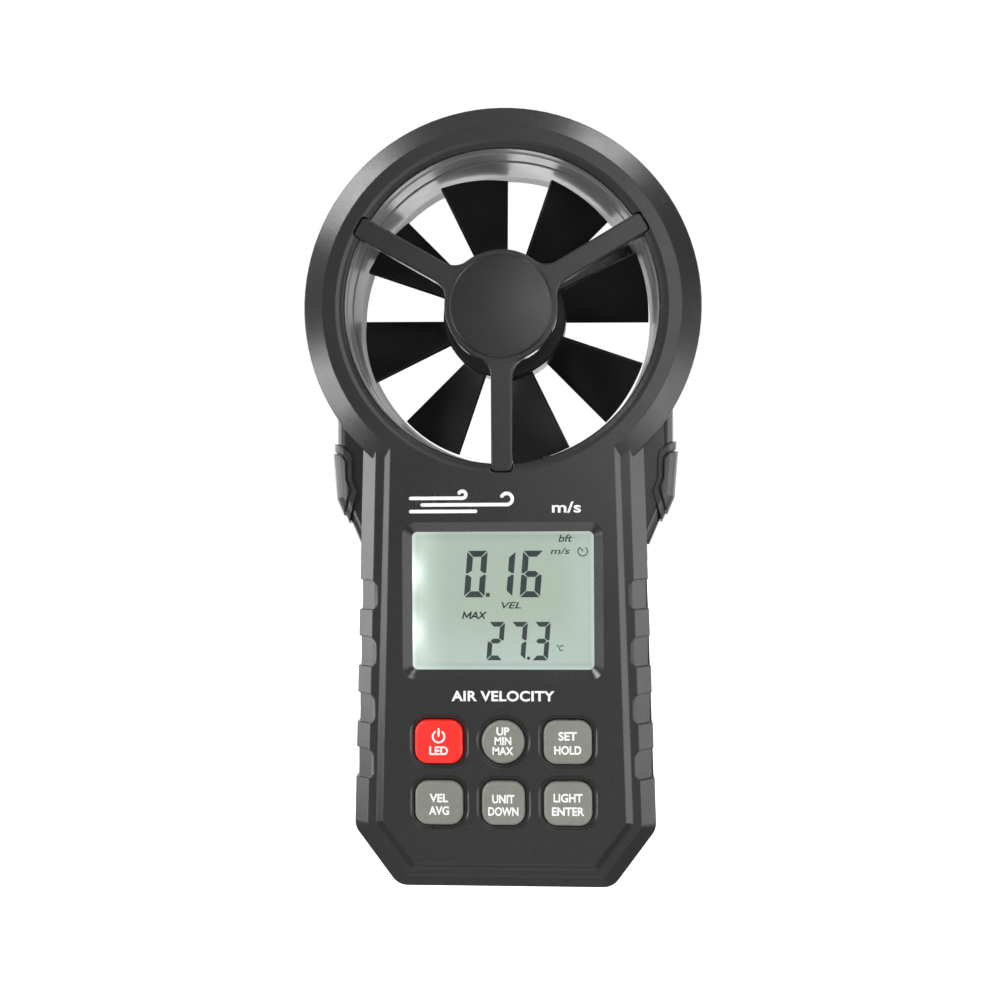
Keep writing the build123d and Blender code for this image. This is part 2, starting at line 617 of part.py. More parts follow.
with BuildPart() as front_guard:
    with BuildSketch(ring_front(-15.5)):
        guard_plan(GUARD_REACH)
    extrude(amount=3.4)
    fillet(front_guard.edges().group_by(Axis.Y)[0], radius=0.5)
    # stepped, slightly domed disc on the hub
    with BuildSketch(Plane.YZ):
        with BuildLine():
            Polyline((Y_DISC_BACK, RING_Z), (Y_DISC_BACK, RING_Z + DISC_R),
                     (-19.35, RING_Z + DISC_R), (y_dome_edge, RING_Z + DOME_EDGE_R))
            ThreePointArc((y_dome_edge, RING_Z + DOME_EDGE_R), (y_dome_mid, RING_Z + DOME_MID_R),
                          (Y_DOME, RING_Z))
            Line((Y_DOME, RING_Z), (Y_DISC_BACK, RING_Z))
        make_face()
    revolve(axis=duct_axis)
    # hollow back and bearing boss
    with BuildSketch(ring_front(-12)):
        Circle(12.0)
    extrude(amount=5.8, mode=Mode.SUBTRACT)
    with BuildSketch(ring_front(-5.0)):
        Circle(4.2)
    extrude(amount=13.0)
    # bearing seat and clearance for the shaft's end
    with BuildSketch(ring_front(-4.0)):
        Circle(FRONT_BEARING_R)
    extrude(amount=4.0, mode=Mode.SUBTRACT)
    with BuildSketch(ring_front(-7.5)):
        Circle(1.1)
    extrude(amount=3.5, mode=Mode.SUBTRACT)
save(front_guard, "front_guard")

with BuildPart() as rear_guard:
    with BuildSketch(ring_front(13.4)):
        guard_plan(REAR_GUARD_REACH)
    extrude(amount=3.1)
    fillet(rear_guard.edges().group_by(Axis.Y)[-1], radius=0.5)
    # bevelled disc on the hub
    with BuildSketch(ring_front(14.2)):
        Circle(12.3)
    extrude(amount=2.0)
    chamfer(rear_guard.faces().sort_by(Axis.Y)[-1].edges(), length=0.5)
    # well for the speed sensor, open to the front
    with BuildSketch(ring_front(12.2)):
        Circle(11.0)
    extrude(amount=4.0, mode=Mode.SUBTRACT)
    # bearing boss
    with BuildSketch(ring_front(Y_REAR_BEARING)):
        Circle(3.6)
    extrude(amount=2.4)
    with BuildSketch(ring_front(Y_REAR_BEARING)):
        Circle(REAR_BEARING_R)
    extrude(amount=4.0, mode=Mode.SUBTRACT)
    # cable channel in the front of the lower arm
    with BuildSketch(ring_front(LEAD_Y + 1.1)):
        with Locations((0, -25.6)):
            Rectangle(2.2, 31.6)
    extrude(amount=3.0, mode=Mode.SUBTRACT)
save(rear_guard, "rear_guard")

# ---------------------------------------------------------------- impeller
BLADE_MID = radians(BLADE_NEAR - BLADE_SPAN / 2)
HALF_SPAN_TAN = tan(radians(BLADE_SPAN / 2))
# section of the cup-shaped hub, open to the rear: (y, radius)
HUB_PROFILE = (
    (9.9, 15.3), (9.5, ROTOR_HUB_R), (-1.1, ROTOR_HUB_R), (-1.6, 15.2), (-1.9, 6.0), (-1.9, 0),
    (9.0, 0), (9.0, 3.2), (0.4, 3.4), (0.4, 14.2), (9.9, 14.4))


def blade_section(radius):
    """Blade section square to its middle radius, as (turning direction, y) points."""
    reach = radius * HALF_SPAN_TAN
    half_t = BLADE_T / 2
    chord = sqrt((2 * reach) ** 2 + (BLADE_Y1 - BLADE_Y0) ** 2)
    # half the thickness, resolved along the turning direction and along the depth
    turn = half_t * 2 * reach / chord
    deep = half_t * (BLADE_Y1 - BLADE_Y0) / chord
    return [(reach - turn + deep, BLADE_Y0 + deep + turn),
            (reach - turn - deep, BLADE_Y0 + deep - turn),
            (-reach + turn - deep, BLADE_Y1 - deep - turn),
            (-reach + turn + deep, BLADE_Y1 - deep + turn)]


with BuildPart() as blade:
    for radius in (14.6, BLADE_TIP_R + 0.4):
        with BuildSketch(Plane(
                origin=(radius * cos(BLADE_MID), 0, RING_Z + radius * sin(BLADE_MID)),
                x_dir=(-sin(BLADE_MID), 0, cos(BLADE_MID)),
                z_dir=(cos(BLADE_MID), 0, sin(BLADE_MID)))):
            with BuildLine():
                # local y of this plane points to -Y
                Polyline(*[(along, -y) for along, y in blade_section(radius)], close=True)
            make_face()
    loft(ruled=True)
    with BuildSketch(ring_front(20)):
        Circle(BLADE_TIP_R)
    extrude(amount=30, mode=Mode.INTERSECT)

with BuildPart() as impeller:
    for i in range(BLADES):
        add(blade.part.rotate(duct_axis, -i * 360 / BLADES))
    with BuildSketch(Plane.YZ):
        with BuildLine():
            Polyline(*[(y, RING_Z + radius) for y, radius in HUB_PROFILE], close=True)
        make_face()
    revolve(axis=duct_axis)
    # post with the magnet's pocket, and the shaft bore
    with BuildSketch(ring_front(Y_MAGNET)):
        with Locations(MAGNET_AT):
            Circle(2.9)
    extrude(amount=Y_MAGNET)
    with BuildSketch(ring_front(9.0)):
        with Locations(MAGNET_AT):
            Circle(MAGNET_R)
    extrude(amount=9.0 - (Y_MAGNET - MAGNET_T), mode=Mode.SUBTRACT)
    with BuildSketch(ring_front(12)):
        Circle(SHAFT_R)
    extrude(amount=20, mode=Mode.SUBTRACT)
save(impeller, "impeller")

with BuildPart() as rotor_magnet:
    with BuildSketch(ring_front(Y_MAGNET)):
        with Locations(MAGNET_AT):
            Circle(MAGNET_R)
    extrude(amount=MAGNET_T)
save(rotor_magnet, "rotor_magnet")

with BuildPart() as impeller_shaft:
    with BuildSketch(ring_front(12.2)):
        Circle(SHAFT_R)
    extrude(amount=12.2 + 9.5)
    ends = impeller_shaft.edges().group_by(Axis.Y)
    chamfer(ends[0] + ends[-1], length=0.2)
save(impeller_shaft, "impeller_shaft")


def save_bearing(name, y_rear, outer_r, length, face_index):
    """Bearing bush; face_index picks its front (0) or rear (-1) face for the chamfer."""
    with BuildPart() as bearing:
        with BuildSketch(ring_front(y_rear)):
            Circle(outer_r)
            Circle(SHAFT_R + 0.05, mode=Mode.SUBTRACT)
        extrude(amount=length)
        chamfer(bearing.faces().sort_by(Axis.Y)[face_index].edges(), length=0.2)
    save(bearing, name)


save_bearing("front_bearing", -4.6, FRONT_BEARING_R, 2.9, -1)
save_bearing("rear_bearing", Y_REAR_BEARING, REAR_BEARING_R, 2.3, 0)

# ---------------------------------------------------------------- sensors
with BuildPart() as speed_sensor:
    # ring-shaped board with a square chip on its front
    with BuildSketch(ring_front(12.1)):
        Circle(10.6)
        Circle(3.9, mode=Mode.SUBTRACT)
    extrude(amount=0.8)
    with BuildSketch(ring_front(11.3)):
        with Locations(MAGNET_AT):
            Rectangle(3.0, 3.0)
    extrude(amount=0.8)
save(speed_sensor, "speed_sensor")

with BuildPart() as sensor_lead:
    # up the lower arm to the sensor, and forward to the circuit board
    with BuildSketch(Plane.XY.offset(LEAD_Z)):
        with Locations((0, LEAD_Y)):
            Circle(LEAD_R)
    extrude(amount=RING_Z - 10.8 - LEAD_Z)
    with BuildSketch(front(LEAD_Y)):
        with Locations((0, LEAD_Z)):
            Circle(LEAD_R)
    extrude(amount=LEAD_Y - (Y_BOARD_BACK + 0.05))
save(sensor_lead, "sensor_lead")

with BuildPart() as thermistor:
    with BuildSketch(bead_plane(37.9)):
        Circle(1.15)
    extrude(amount=3.4)
    # round the upper end, which faces the duct axis
    circles = thermistor.edges().filter_by(GeomType.CIRCLE)
    fillet(circles.sort_by(lambda e: -e.center().Z)[0], radius=0.9)
save(thermistor, "thermistor")

# ---------------------------------------------------------------- display
LCD_W = 46.0
Y_LCD_BACK = -14.3              # rear of the rear glass
LCD_REAR_T = 1.1
PANEL_H = 31.0
Y_FRAME_BACK = Y_BOARD - 0.05
Y_ZEBRA_BACK = Y_BOARD - 0.02

with BuildPart() as display_window:
    with BuildSketch(front(-16.45)):
        with Locations((0, LCD_Z)):
            RectangleRounded(47.9, 37.3, 1.5)
    extrude(amount=1.0)
save(display_window, "display_window")

with BuildPart() as lcd_glass:
    with BuildSketch(front(Y_LCD_BACK)):
        with Locations((0, LCD_Z)):
            Rectangle(LCD_W, 36.4)
    extrude(amount=LCD_REAR_T)
    with BuildSketch(front(Y_LCD_BACK - LCD_REAR_T)):
        with Locations((0, LCD_UPPER_Z)):
            Rectangle(LCD_W, 33.6)
    extrude(amount=0.95)
save(lcd_glass, "lcd_glass")

with BuildPart() as backlight_panel:
    with BuildSketch(front(-11.2)):
        with Locations((0, LCD_UPPER_Z)):
            Rectangle(LCD_W, PANEL_H)
    extrude(amount=3.0)
save(backlight_panel, "backlight_panel")

with BuildPart() as lcd_frame:
    with BuildSketch(front(Y_FRAME_BACK)):
        with Locations((0, LCD_Z)):
            RectangleRounded(50.6, 39.4, 1.0)
            Rectangle(46.3, 36.7, mode=Mode.SUBTRACT)
    extrude(amount=Y_FRAME_BACK + 16.3)
    # floor behind the backlight
    with BuildSketch(front(Y_FRAME_BACK)):
        with Locations((0, LCD_UPPER_Z)):
            Rectangle(47.0, PANEL_H)
    extrude(amount=1.5)
save(lcd_frame, "lcd_frame")

with BuildPart() as zebra_strips:
    with BuildSketch(front(Y_ZEBRA_BACK)):
        with Locations((0, LCD_Z - 16.3)):
            Rectangle(44.0, 2.2)
    extrude(amount=Y_ZEBRA_BACK + 14.28)
save(zebra_strips, "zebra_strips")

# ---------------------------------------------------------------- circuit board
# right edge of the board, going down: (x, z)
BOARD_EDGE = ((26.0, 89.8), (26.0, 25.0), (23.4, 23.6), (23.4, 14.0), (20.6, 9.8))
# blocks on the rear of the board: (x, z, width, height, thickness)
BOARD_BLOCKS = (
    (0, 56, 12, 12, 1.8), (-16, 62, 5, 6, 1.6), (15, 58, 6, 4, 1.6),
    (-18, 48, 4, 3, 1.2), (18, 46, 3, 6, 1.4), (-8, 44, 3, 2, 0.9),
    (6, 44, 3, 2, 0.9), (-20, 30, 3.2, 6.2, 1.6), (20, 28, 3.2, 6.2, 1.6))
BUZZER_AT = (-16.5, 80.0)
BUZZER_T = 5.0
PART_CLEARANCE = 0.02           # gap between the board and the parts on it

with BuildPart() as main_board:
    with BuildSketch(front(Y_BOARD_BACK)):
        with BuildLine():
            Polyline(*BOARD_EDGE, *[(-x, z) for x, z in reversed(BOARD_EDGE)], close=True)
        make_face()
        with Locations(*BOARD_SCREWS):
            Circle(1.2, mode=Mode.SUBTRACT)
    extrude(amount=BOARD_T)
save(main_board, "main_board")

with BuildPart() as board_parts:
    for block_x, block_z, width, height, thickness in BOARD_BLOCKS:
        with BuildSketch(front(Y_BOARD_BACK + thickness + PART_CLEARANCE)):
            with Locations((block_x, block_z)):
                Rectangle(width, height)
        extrude(amount=thickness)
save(board_parts, "board_parts")

with BuildPart() as buzzer:
    with BuildSketch(front(Y_BOARD_BACK + BUZZER_T + PART_CLEARANCE)):
        with Locations(BUZZER_AT):
            Circle(6.0)
    extrude(amount=BUZZER_T)
    fillet(buzzer.edges().group_by(Axis.Y)[-1], radius=0.5)
    with BuildSketch(front(Y_BOARD_BACK + 6)):
        with Locations(BUZZER_AT):
            Circle(0.9)
    extrude(amount=2.0, mode=Mode.SUBTRACT)
save(buzzer, "buzzer")

# ---------------------------------------------------------------- keys
Y_KEY_FOOT = Y_WALL_IN + 0.06   # rear of the cap, front of the flange
Y_PLUNGER = Y_BOARD - KEY_TRAVEL - 0.06
Y_MAT_BACK = Y_BOARD - 0.03
MAT_T = 1.0

for name, (key_x, key_z, *plan) in KEYS.items():
    with BuildPart() as key:
        with BuildSketch(front(Y_KEY_FOOT)):
            with Locations((key_x, key_z)):
                key_plan(*plan)
        extrude(amount=Y_KEY_FOOT - Y_KEY)
        fillet(key.edges().group_by(Axis.Y)[0], radius=0.7)
        # flange that holds the key behind the front wall
        with BuildSketch(front(Y_FLANGE)):
            with Locations((key_x, key_z)):
                key_plan(*plan, grow=0.95)
        extrude(amount=Y_FLANGE - Y_KEY_FOOT)
        # plunger
        with BuildSketch(front(Y_PLUNGER)):
            with Locations((key_x, key_z)):
                Circle(2.4)
        extrude(amount=Y_PLUNGER - Y_FLANGE)
    save(key, name)

with BuildPart() as keypad_mat:
    with BuildSketch(front(Y_MAT_BACK)):
        with Locations((0, sum(KEY_Z) / 2)):
            RectangleRounded(43.6, 26.6, 2.0)
        with Locations(*[(key[0], key[1]) for key in KEYS.values()]):
            Circle(3.4, mode=Mode.SUBTRACT)
    extrude(amount=MAT_T)
    # collar around each plunger
    for key_x, key_z, *_ in KEYS.values():
        with BuildSketch(front(Y_MAT_BACK - MAT_T)):
            with Locations((key_x, key_z)):
                Circle(4.7)
                Circle(3.7, mode=Mode.SUBTRACT)
        extrude(amount=Y_MAT_BACK - MAT_T - (Y_FLANGE + KEY_TRAVEL + 0.06))
save(keypad_mat, "keypad_mat")

# ---------------------------------------------------------------- power
TERMINALS = ((-6.35, 3.0), (6.35, 2.7))     # x, radius
SNAP_PLAN = (25.0, 12.0, 2.5)               # width, depth, corner radius

with BuildPart() as battery:
    with BuildSketch(front(Y_BAT + BAT_T)):
        with Locations((0, BAT_Z + BAT_CASE_H / 2)):
            RectangleRounded(BAT_W, BAT_CASE_H, 2.0)
    extrude(amount=BAT_T)
    for terminal_x, terminal_r in TERMINALS:
        with BuildSketch(Plane.XY.offset(BAT_TOP_Z)):
            with Locations((terminal_x, Y_BAT_MID)):
                Circle(terminal_r)
        extrude(amount=2.0)
save(battery, "battery")

with BuildPart() as battery_snap:
    # lower layer with holes for the terminals, then a closed upper layer
    with BuildSketch(Plane.XY.offset(BAT_TOP_Z + 0.1)):
        with Locations((0, Y_BAT_MID)):
            RectangleRounded(*SNAP_PLAN)
        for terminal_x, terminal_r in TERMINALS:
            with Locations((terminal_x, Y_BAT_MID)):
                Circle(terminal_r + 0.15, mode=Mode.SUBTRACT)
    extrude(amount=2.4)
    with BuildSketch(Plane.XY.offset(BAT_TOP_Z + 2.3)):
        with Locations((0, Y_BAT_MID)):
            RectangleRounded(*SNAP_PLAN)
    extrude(amount=2.2)
save(battery_snap, "battery_snap")

with BuildPart() as battery_foam:
    with BuildSketch(Plane.XY.offset(61.0)):
        with Locations((0, 9.0)):
            Rectangle(24.0, 13.0)
    extrude(amount=5.6)
save(battery_foam, "battery_foam")

with BuildPart() as battery_door:
    add(rear_outer.part)
    with BuildSketch(front(Y_BEHIND)):
        band(half=DOOR_HALF, low=0.3, high=DOOR_TOP)
    extrude(amount=1 + DOOR_T, mode=Mode.INTERSECT)
    # side rails
    with BuildSketch(front(Y_BACK - DOOR_T + 0.9)):
        band(half=DOOR_HALF + 1.2, low=6.5, high=RAIL_TOP)
    extrude(amount=0.9)
    # thumb grooves near the top end of the door, shorter going down
    for i in range(5):
        with BuildSketch(front(Y_BACK + 0.5)):
            with Locations((0, 60.5 - 2.2 * i)):
                SlotOverall(16.0 - 1.6 * i, 1.1)
        extrude(amount=1.1, mode=Mode.SUBTRACT)
save(battery_door, "battery_door")

# ---------------------------------------------------------------- fasteners
Y_INSERT = Y_BACK - 0.3         # rear of the tripod insert
CASE_HEAD_T = 1.9
Y_BOARD_HEAD = Y_BOARD_BACK + 0.02      # underside of the board screw heads
BOARD_HEAD_T = 1.3

with BuildPart() as tripod_insert:
    with BuildSketch(front(Y_INSERT)):
        with Locations((0, TRIPOD_Z)):
            Circle(INSERT_R)
            Circle(TRIPOD_R, mode=Mode.SUBTRACT)
    extrude(amount=TRIPOD_DEPTH)
    # closed front end
    with BuildSketch(front(Y_INSERT - TRIPOD_DEPTH)):
        with Locations((0, TRIPOD_Z)):
            Circle(INSERT_R)
    extrude(amount=0.6)
save(tripod_insert, "tripod_insert")

with BuildPart() as case_screws:
    with BuildSketch(front(Y_SCREW_SEAT + CASE_HEAD_T)):
        with Locations(*CASE_SCREWS):
            Circle(2.7)
    extrude(amount=CASE_HEAD_T)
    with BuildSketch(front(Y_SCREW_SEAT + CASE_HEAD_T + 0.1)):
        with Locations(*CASE_SCREWS):
            cross_slot(3.2, 0.8)
    extrude(amount=1.1, mode=Mode.SUBTRACT)
    with BuildSketch(front(Y_SCREW_SEAT)):
        with Locations(*CASE_SCREWS):
            Circle(CASE_SCREW_R)
    extrude(amount=Y_SCREW_SEAT + 14.0)
save(case_screws, "case_screws")

with BuildPart() as board_screws:
    with BuildSketch(front(Y_BOARD_HEAD + BOARD_HEAD_T)):
        with Locations(*BOARD_SCREWS):
            Circle(1.9)
    extrude(amount=BOARD_HEAD_T)
    with BuildSketch(front(Y_BOARD_HEAD + BOARD_HEAD_T + 0.1)):
        with Locations(*BOARD_SCREWS):
            cross_slot(2.2, 0.6)
    extrude(amount=0.8, mode=Mode.SUBTRACT)
    with BuildSketch(front(Y_BOARD_HEAD + 0.01)):
        with Locations(*BOARD_SCREWS):
            Circle(BOARD_SCREW_R)
    extrude(amount=BOARD_T + 0.03 + 4.6)
save(board_screws, "board_screws")
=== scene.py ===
"""Looks, printing and studio for a hand-held air velocity meter.

The meter stands upright: +X is the reader's right, +Z is up and its face looks towards -Y.
The axis of the duct with its impeller runs along Y. Lengths are metres, except for the display
contents and the printing, which are laid out in millimetres as (x, z).
"""
import json
import math

import bmesh
import bpy
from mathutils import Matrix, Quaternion, Vector


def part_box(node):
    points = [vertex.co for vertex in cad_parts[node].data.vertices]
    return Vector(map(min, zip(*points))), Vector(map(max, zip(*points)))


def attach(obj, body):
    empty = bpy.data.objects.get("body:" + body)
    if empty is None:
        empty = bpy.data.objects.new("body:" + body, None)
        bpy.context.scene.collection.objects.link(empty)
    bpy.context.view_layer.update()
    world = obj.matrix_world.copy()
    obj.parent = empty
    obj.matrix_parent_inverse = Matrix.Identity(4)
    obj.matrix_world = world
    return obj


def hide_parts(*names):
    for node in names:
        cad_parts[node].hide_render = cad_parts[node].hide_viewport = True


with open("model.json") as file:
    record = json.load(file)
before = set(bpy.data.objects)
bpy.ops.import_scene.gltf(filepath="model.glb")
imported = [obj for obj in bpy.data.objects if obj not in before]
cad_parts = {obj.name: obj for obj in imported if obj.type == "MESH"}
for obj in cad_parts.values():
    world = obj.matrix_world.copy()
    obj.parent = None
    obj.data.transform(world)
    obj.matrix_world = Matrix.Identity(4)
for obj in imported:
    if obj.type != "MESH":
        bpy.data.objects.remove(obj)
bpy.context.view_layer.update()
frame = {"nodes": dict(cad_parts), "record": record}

MM = 0.001
scene = bpy.context.scene


# ------------------------------------------------------------------ places taken from the parts
WINDOW_LO, WINDOW_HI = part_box("display_window")
SCREEN_Z = (WINDOW_LO.z + WINDOW_HI.z) / 2      # height of the display's middle
SCREEN_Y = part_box("lcd_glass")[0].y             # front of the display glass
CASE_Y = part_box("front_case")[0].y              # front of the case


# ------------------------------------------------------------------ shader helpers
def lin(*rgb):
    """sRGB 0-255 to linear RGBA."""
    out = []
    for c in rgb:
        c = c / 255.0
        out.append(c / 12.92 if c <= 0.04045 else ((c + 0.055) / 1.055) ** 2.4)
    return tuple(out) + (1.0,)


class Graph:
    """Builds a node tree. Any input takes a plain value, an output, or a node (its first output)."""

    def __init__(self, tree):
        self.tree = tree
        tree.nodes.clear()

    def put(self, socket, value):
        if isinstance(value, bpy.types.Node):
            value = value.outputs[0]
        if isinstance(value, bpy.types.NodeSocket):
            self.tree.links.new(value, socket)
        else:
            socket.default_value = value

    def node(self, kind, inputs=None, **props):
        made = self.tree.nodes.new("ShaderNode" + kind)
        for key, value in props.items():
            setattr(made, key, value)
        for key, value in (inputs or {}).items():
            self.put(made.inputs[key], value)
        return made

    def object_place(self):
        return self.node("TexCoord").outputs["Object"]

    def noise(self, place, scale, detail=2.0, rough=0.5):
        return self.node("TexNoise", {"Vector": place, "Scale": scale, "Detail": detail,
                                      "Roughness": rough})

    def ramp(self, value, span, out=(0.0, 1.0), smooth=True):
        """Carries the span of values onto the out range, clamped at both ends."""
        kind = "SMOOTHSTEP" if smooth else "LINEAR"
        return self.node("MapRange", {0: value, 1: span[0], 2: span[1], 3: out[0], 4: out[1]},
                         interpolation_type=kind)

    def mottle(self, place, out, smooth=True, **noise):
        """Noise with its useful middle stretched over the out range."""
        return self.ramp(self.noise(place, **noise), span=(0.3, 0.7), out=out, smooth=smooth)

    def math(self, op, *values, clamp=False):
        return self.node("Math", dict(enumerate(values)), operation=op, use_clamp=clamp)

    def times(self, a, b):
        return self.math("MULTIPLY", a, b)

    def dot(self, a, b):
        return self.node("VectorMath", {0: a, 1: b}, operation="DOT_PRODUCT").outputs["Value"]

    def scaled(self, vector, gain):
        return self.node("VectorMath", {0: vector, "Scale": gain}, operation="SCALE")

    def stretched(self, place, scale, rotation=(0.0, 0.0, 0.0)):
        return self.node("Mapping", {"Vector": place, "Scale": scale, "Rotation": rotation})

    def mix(self, share, a, b):
        made = self.node("Mix", {0: share, 6: a, 7: b}, data_type="RGBA", blend_type="MIX")
        return made.outputs[2]

    def mix_shader(self, share, a, b):
        return self.node("MixShader", {0: share, 1: a, 2: b})

    def bump(self, height, distance, strength=1.0, normal=None):
        made = self.node("Bump", {"Strength": strength, "Distance": distance, "Height": height})
        if normal is not None:
            self.put(made.inputs["Normal"], normal)
        return made


def new_material(name):
    """The material, its graph and the surface socket of its output."""
    material = bpy.data.materials.new(name)
    material.use_nodes = True
    g = Graph(material.node_tree)
    return material, g, g.node("OutputMaterial").inputs["Surface"]


# ------------------------------------------------------------------ moulded, cast and turned finishes
def surface(name, base, rough, grain, depth, bevel, metallic=0.0, spec=0.5, vary=0.12,
            vary_scale=28.0, speck=0.05, rough_vary=0.10, edge_wear_and_highlight=0.35, edge_wear_and_highlight_tint=None,
            patch=(0.38, 0.66), coat=0.0, sheen=0.0, streak=None):
    """Mottled colour, fine grain, rounded edges paled by rubbing and, on the blades, by a painted edge
    highlight, a little dust.

    base, edge_wear_and_highlight_tint   sRGB colours; a paled edge is a paler base unless it has its own tint
    grain, depth      fineness and height of the surface grain
    bevel             radius that edges are shaded to
    vary, vary_scale  strength and fineness of slow mottling; speck is the strength of fine specks
    edge_wear_and_highlight, patch   strength of the paled edges (rubbing, and on the blades a painted edge highlight), and the noise span that makes them patchy
    streak            stretch of the pattern along x, y, z, its fineness and its height
    """
    material, g, output = new_material(name)
    base = lin(*base)
    shader = g.node("BsdfPrincipled", {
        "Metallic": metallic, "Specular IOR Level": spec, "Coat Weight": coat,
        "Coat Roughness": 0.2})
    if sheen:
        g.put(shader.inputs["Sheen Weight"], sheen)
        g.put(shader.inputs["Sheen Roughness"], 0.6)
    place = g.object_place()
    flat = g.node("NewGeometry").outputs["Normal"]
    rounded = g.node("Bevel", {"Radius": bevel}, samples=4)

    # colour: slow mottling and fine specks
    slow = g.mottle(place, out=(-1.0, 1.0), scale=vary_scale, detail=3.0, rough=0.55)
    fine = g.mottle(place, out=(-1.0, 1.0), smooth=False, scale=900.0, detail=2.0, rough=0.6)
    gain = g.math("ADD", g.math("MULTIPLY_ADD", slow, vary, 1.0), g.times(fine, speck))
    colour = g.scaled(base[:3], gain)

    # paled edges, rubbing and painted edge highlight: where the rounded normal leaves the flat one
    turn = g.math("SUBTRACT", 1.0, g.dot(rounded, flat))
    patchy = g.ramp(g.noise(place, scale=190.0, detail=4.0, rough=0.65), span=patch)
    worn_and_highlit_edge = g.times(g.ramp(turn, span=(0.015, 0.16)), patchy)
    if edge_wear_and_highlight_tint:
        tint = lin(*edge_wear_and_highlight_tint)
    else:
        tint = tuple(min(1.0, 0.06 + c * 1.8) for c in base[:3]) + (1.0,)
    colour = g.mix(g.times(worn_and_highlit_edge, edge_wear_and_highlight), colour, tint)

    # dust settles on faces that look up
    upward = g.ramp(g.dot(flat, (0.0, 0.0, 1.0)), span=(0.5, 1.0))
    drift = g.ramp(g.noise(place, scale=320.0, detail=3.0), span=(0.4, 0.75))
    dust_cover = 0.05
    dust = g.times(g.times(upward, drift), dust_cover)
    g.put(shader.inputs["Base Color"], g.mix(dust, colour, lin(176, 172, 164)))

    # roughness: uneven, and polished a little where rubbed
    uneven = g.mottle(place, out=(-1.0, 1.0), scale=75.0, detail=4.0, rough=0.6)
    polish = -0.1
    roughness = g.math("ADD", g.math("MULTIPLY_ADD", uneven, rough_vary, rough),
                       g.times(worn_and_highlit_edge, polish), clamp=True)
    g.put(shader.inputs["Roughness"], roughness)

    # relief: streaks, then grain, then the slow unevenness of a moulding
    normal = rounded
    if streak:
        stretch, fineness, height = streak
        lines = g.noise(g.stretched(place, stretch), scale=fineness)
        normal = g.bump(lines, distance=height, normal=normal)
    cells = g.node("TexVoronoi", {"Vector": place, "Scale": grain * 0.8}, feature="SMOOTH_F1")
    relief = g.math("ADD", g.noise(place, scale=grain, detail=2.0, rough=0.6),
                    g.times(cells.outputs["Distance"], 0.8))
    normal = g.bump(relief, distance=depth, normal=normal)
    normal = g.bump(g.noise(place, scale=60.0), distance=0.00006, strength=0.6, normal=normal)
    g.put(shader.inputs["Normal"], normal)
    g.put(output, shader)
    return material


FINISHES = {
    "case_plastic": dict(
        base=(40, 40, 40), rough=0.26, vary=0.05, grain=1500, depth=0.000008, rough_vary=0.025,
        edge_wear_and_highlight=0.18, bevel=0.00035),
    "grip_plastic": dict(
        base=(48, 48, 48), rough=0.33, rough_vary=0.03, vary=0.05, grain=1500, depth=0.000010,
        edge_wear_and_highlight=0.30, bevel=0.00045),
    "duct_plastic": dict(
        base=(128, 129, 130), rough=0.40, spec=0.32, rough_vary=0.04, vary=0.06, grain=1500,
        depth=0.000006, edge_wear_and_highlight=0.2, bevel=0.00015),
    "guard_plastic": dict(
        base=(38, 38, 38), rough=0.28, vary=0.05, grain=1500, depth=0.000007, rough_vary=0.025,
        edge_wear_and_highlight=0.18, bevel=0.00030),
    # the blades' strong pale edge tint is a painted highlight along their edges
    "blade_plastic": dict(
        base=(27, 27, 30), rough=0.46, spec=0.25, vary=0.06, grain=1300, depth=0.000004,
        rough_vary=0.03, edge_wear_and_highlight=0.8, edge_wear_and_highlight_tint=(92, 92, 95), patch=(0.15, 0.45), bevel=0.00028),
    "steel": dict(
        base=(188, 190, 194), rough=0.28, metallic=1.0, grain=3000, depth=0.000002, edge_wear_and_highlight=0.2,
        bevel=0.00010, streak=((1.0, 1.0, 9.0), 900.0, 0.0000015)),
    "brass": dict(
        base=(200, 168, 98), rough=0.30, metallic=1.0, grain=2600, depth=0.000003, edge_wear_and_highlight=0.25,
        bevel=0.00012, streak=((1.0, 8.0, 1.0), 800.0, 0.000002)),
    "magnet": dict(
        base=(120, 122, 126), rough=0.35, metallic=0.9, grain=2500, depth=0.000004, bevel=0.0001),
    "circuit_board": dict(
        base=(26, 92, 58), rough=0.38, vary=0.2, vary_scale=120.0, grain=1200, depth=0.000004,
        bevel=0.0001, coat=0.3),
    "cable": dict(base=(24, 24, 26), rough=0.48, grain=1600, depth=0.00001, bevel=0.0002),
    "bead": dict(
        base=(16, 17, 22), rough=0.16, grain=1200, depth=0.000003, coat=0.6, bevel=0.0002),
    "white_plastic": dict(
        base=(222, 222, 216), rough=0.42, grain=1800, depth=0.000006, bevel=0.0002),
    "elastomer": dict(
        base=(40, 40, 44), rough=0.60, grain=1800, depth=0.00001, bevel=0.0002,
        streak=((14.0, 1.0, 1.0), 700.0, 0.000006)),
    "component_plastic": dict(
        base=(30, 30, 32), rough=0.50, grain=2400, depth=0.000008, bevel=0.00015),
    "red_key": dict(
        base=(250, 44, 36), rough=0.42, spec=0.4, vary=0.05, grain=1900, depth=0.000006,
        edge_wear_and_highlight=0.25, edge_wear_and_highlight_tint=(255, 120, 105), bevel=0.00030),
    "grey_key": dict(
        base=(127, 129, 121), rough=0.44, spec=0.4, vary=0.05, grain=1900, depth=0.000006,
        edge_wear_and_highlight=0.45, edge_wear_and_highlight_tint=(166, 167, 150), bevel=0.00030),
    "silicone": dict(
        base=(150, 152, 150), rough=0.55, grain=1500, depth=0.000008, sheen=0.2, bevel=0.0002),
    "battery_jacket": dict(
        base=(34, 58, 120), rough=0.30, grain=1400, depth=0.000003, coat=0.3, bevel=0.0003),
    "foam": dict(
        base=(62, 62, 66), rough=0.92, spec=0.1, vary=0.25, vary_scale=700.0, speck=0.25,
        grain=1100, depth=0.0002, edge_wear_and_highlight=0.1, bevel=0.0004, sheen=0.3),
}


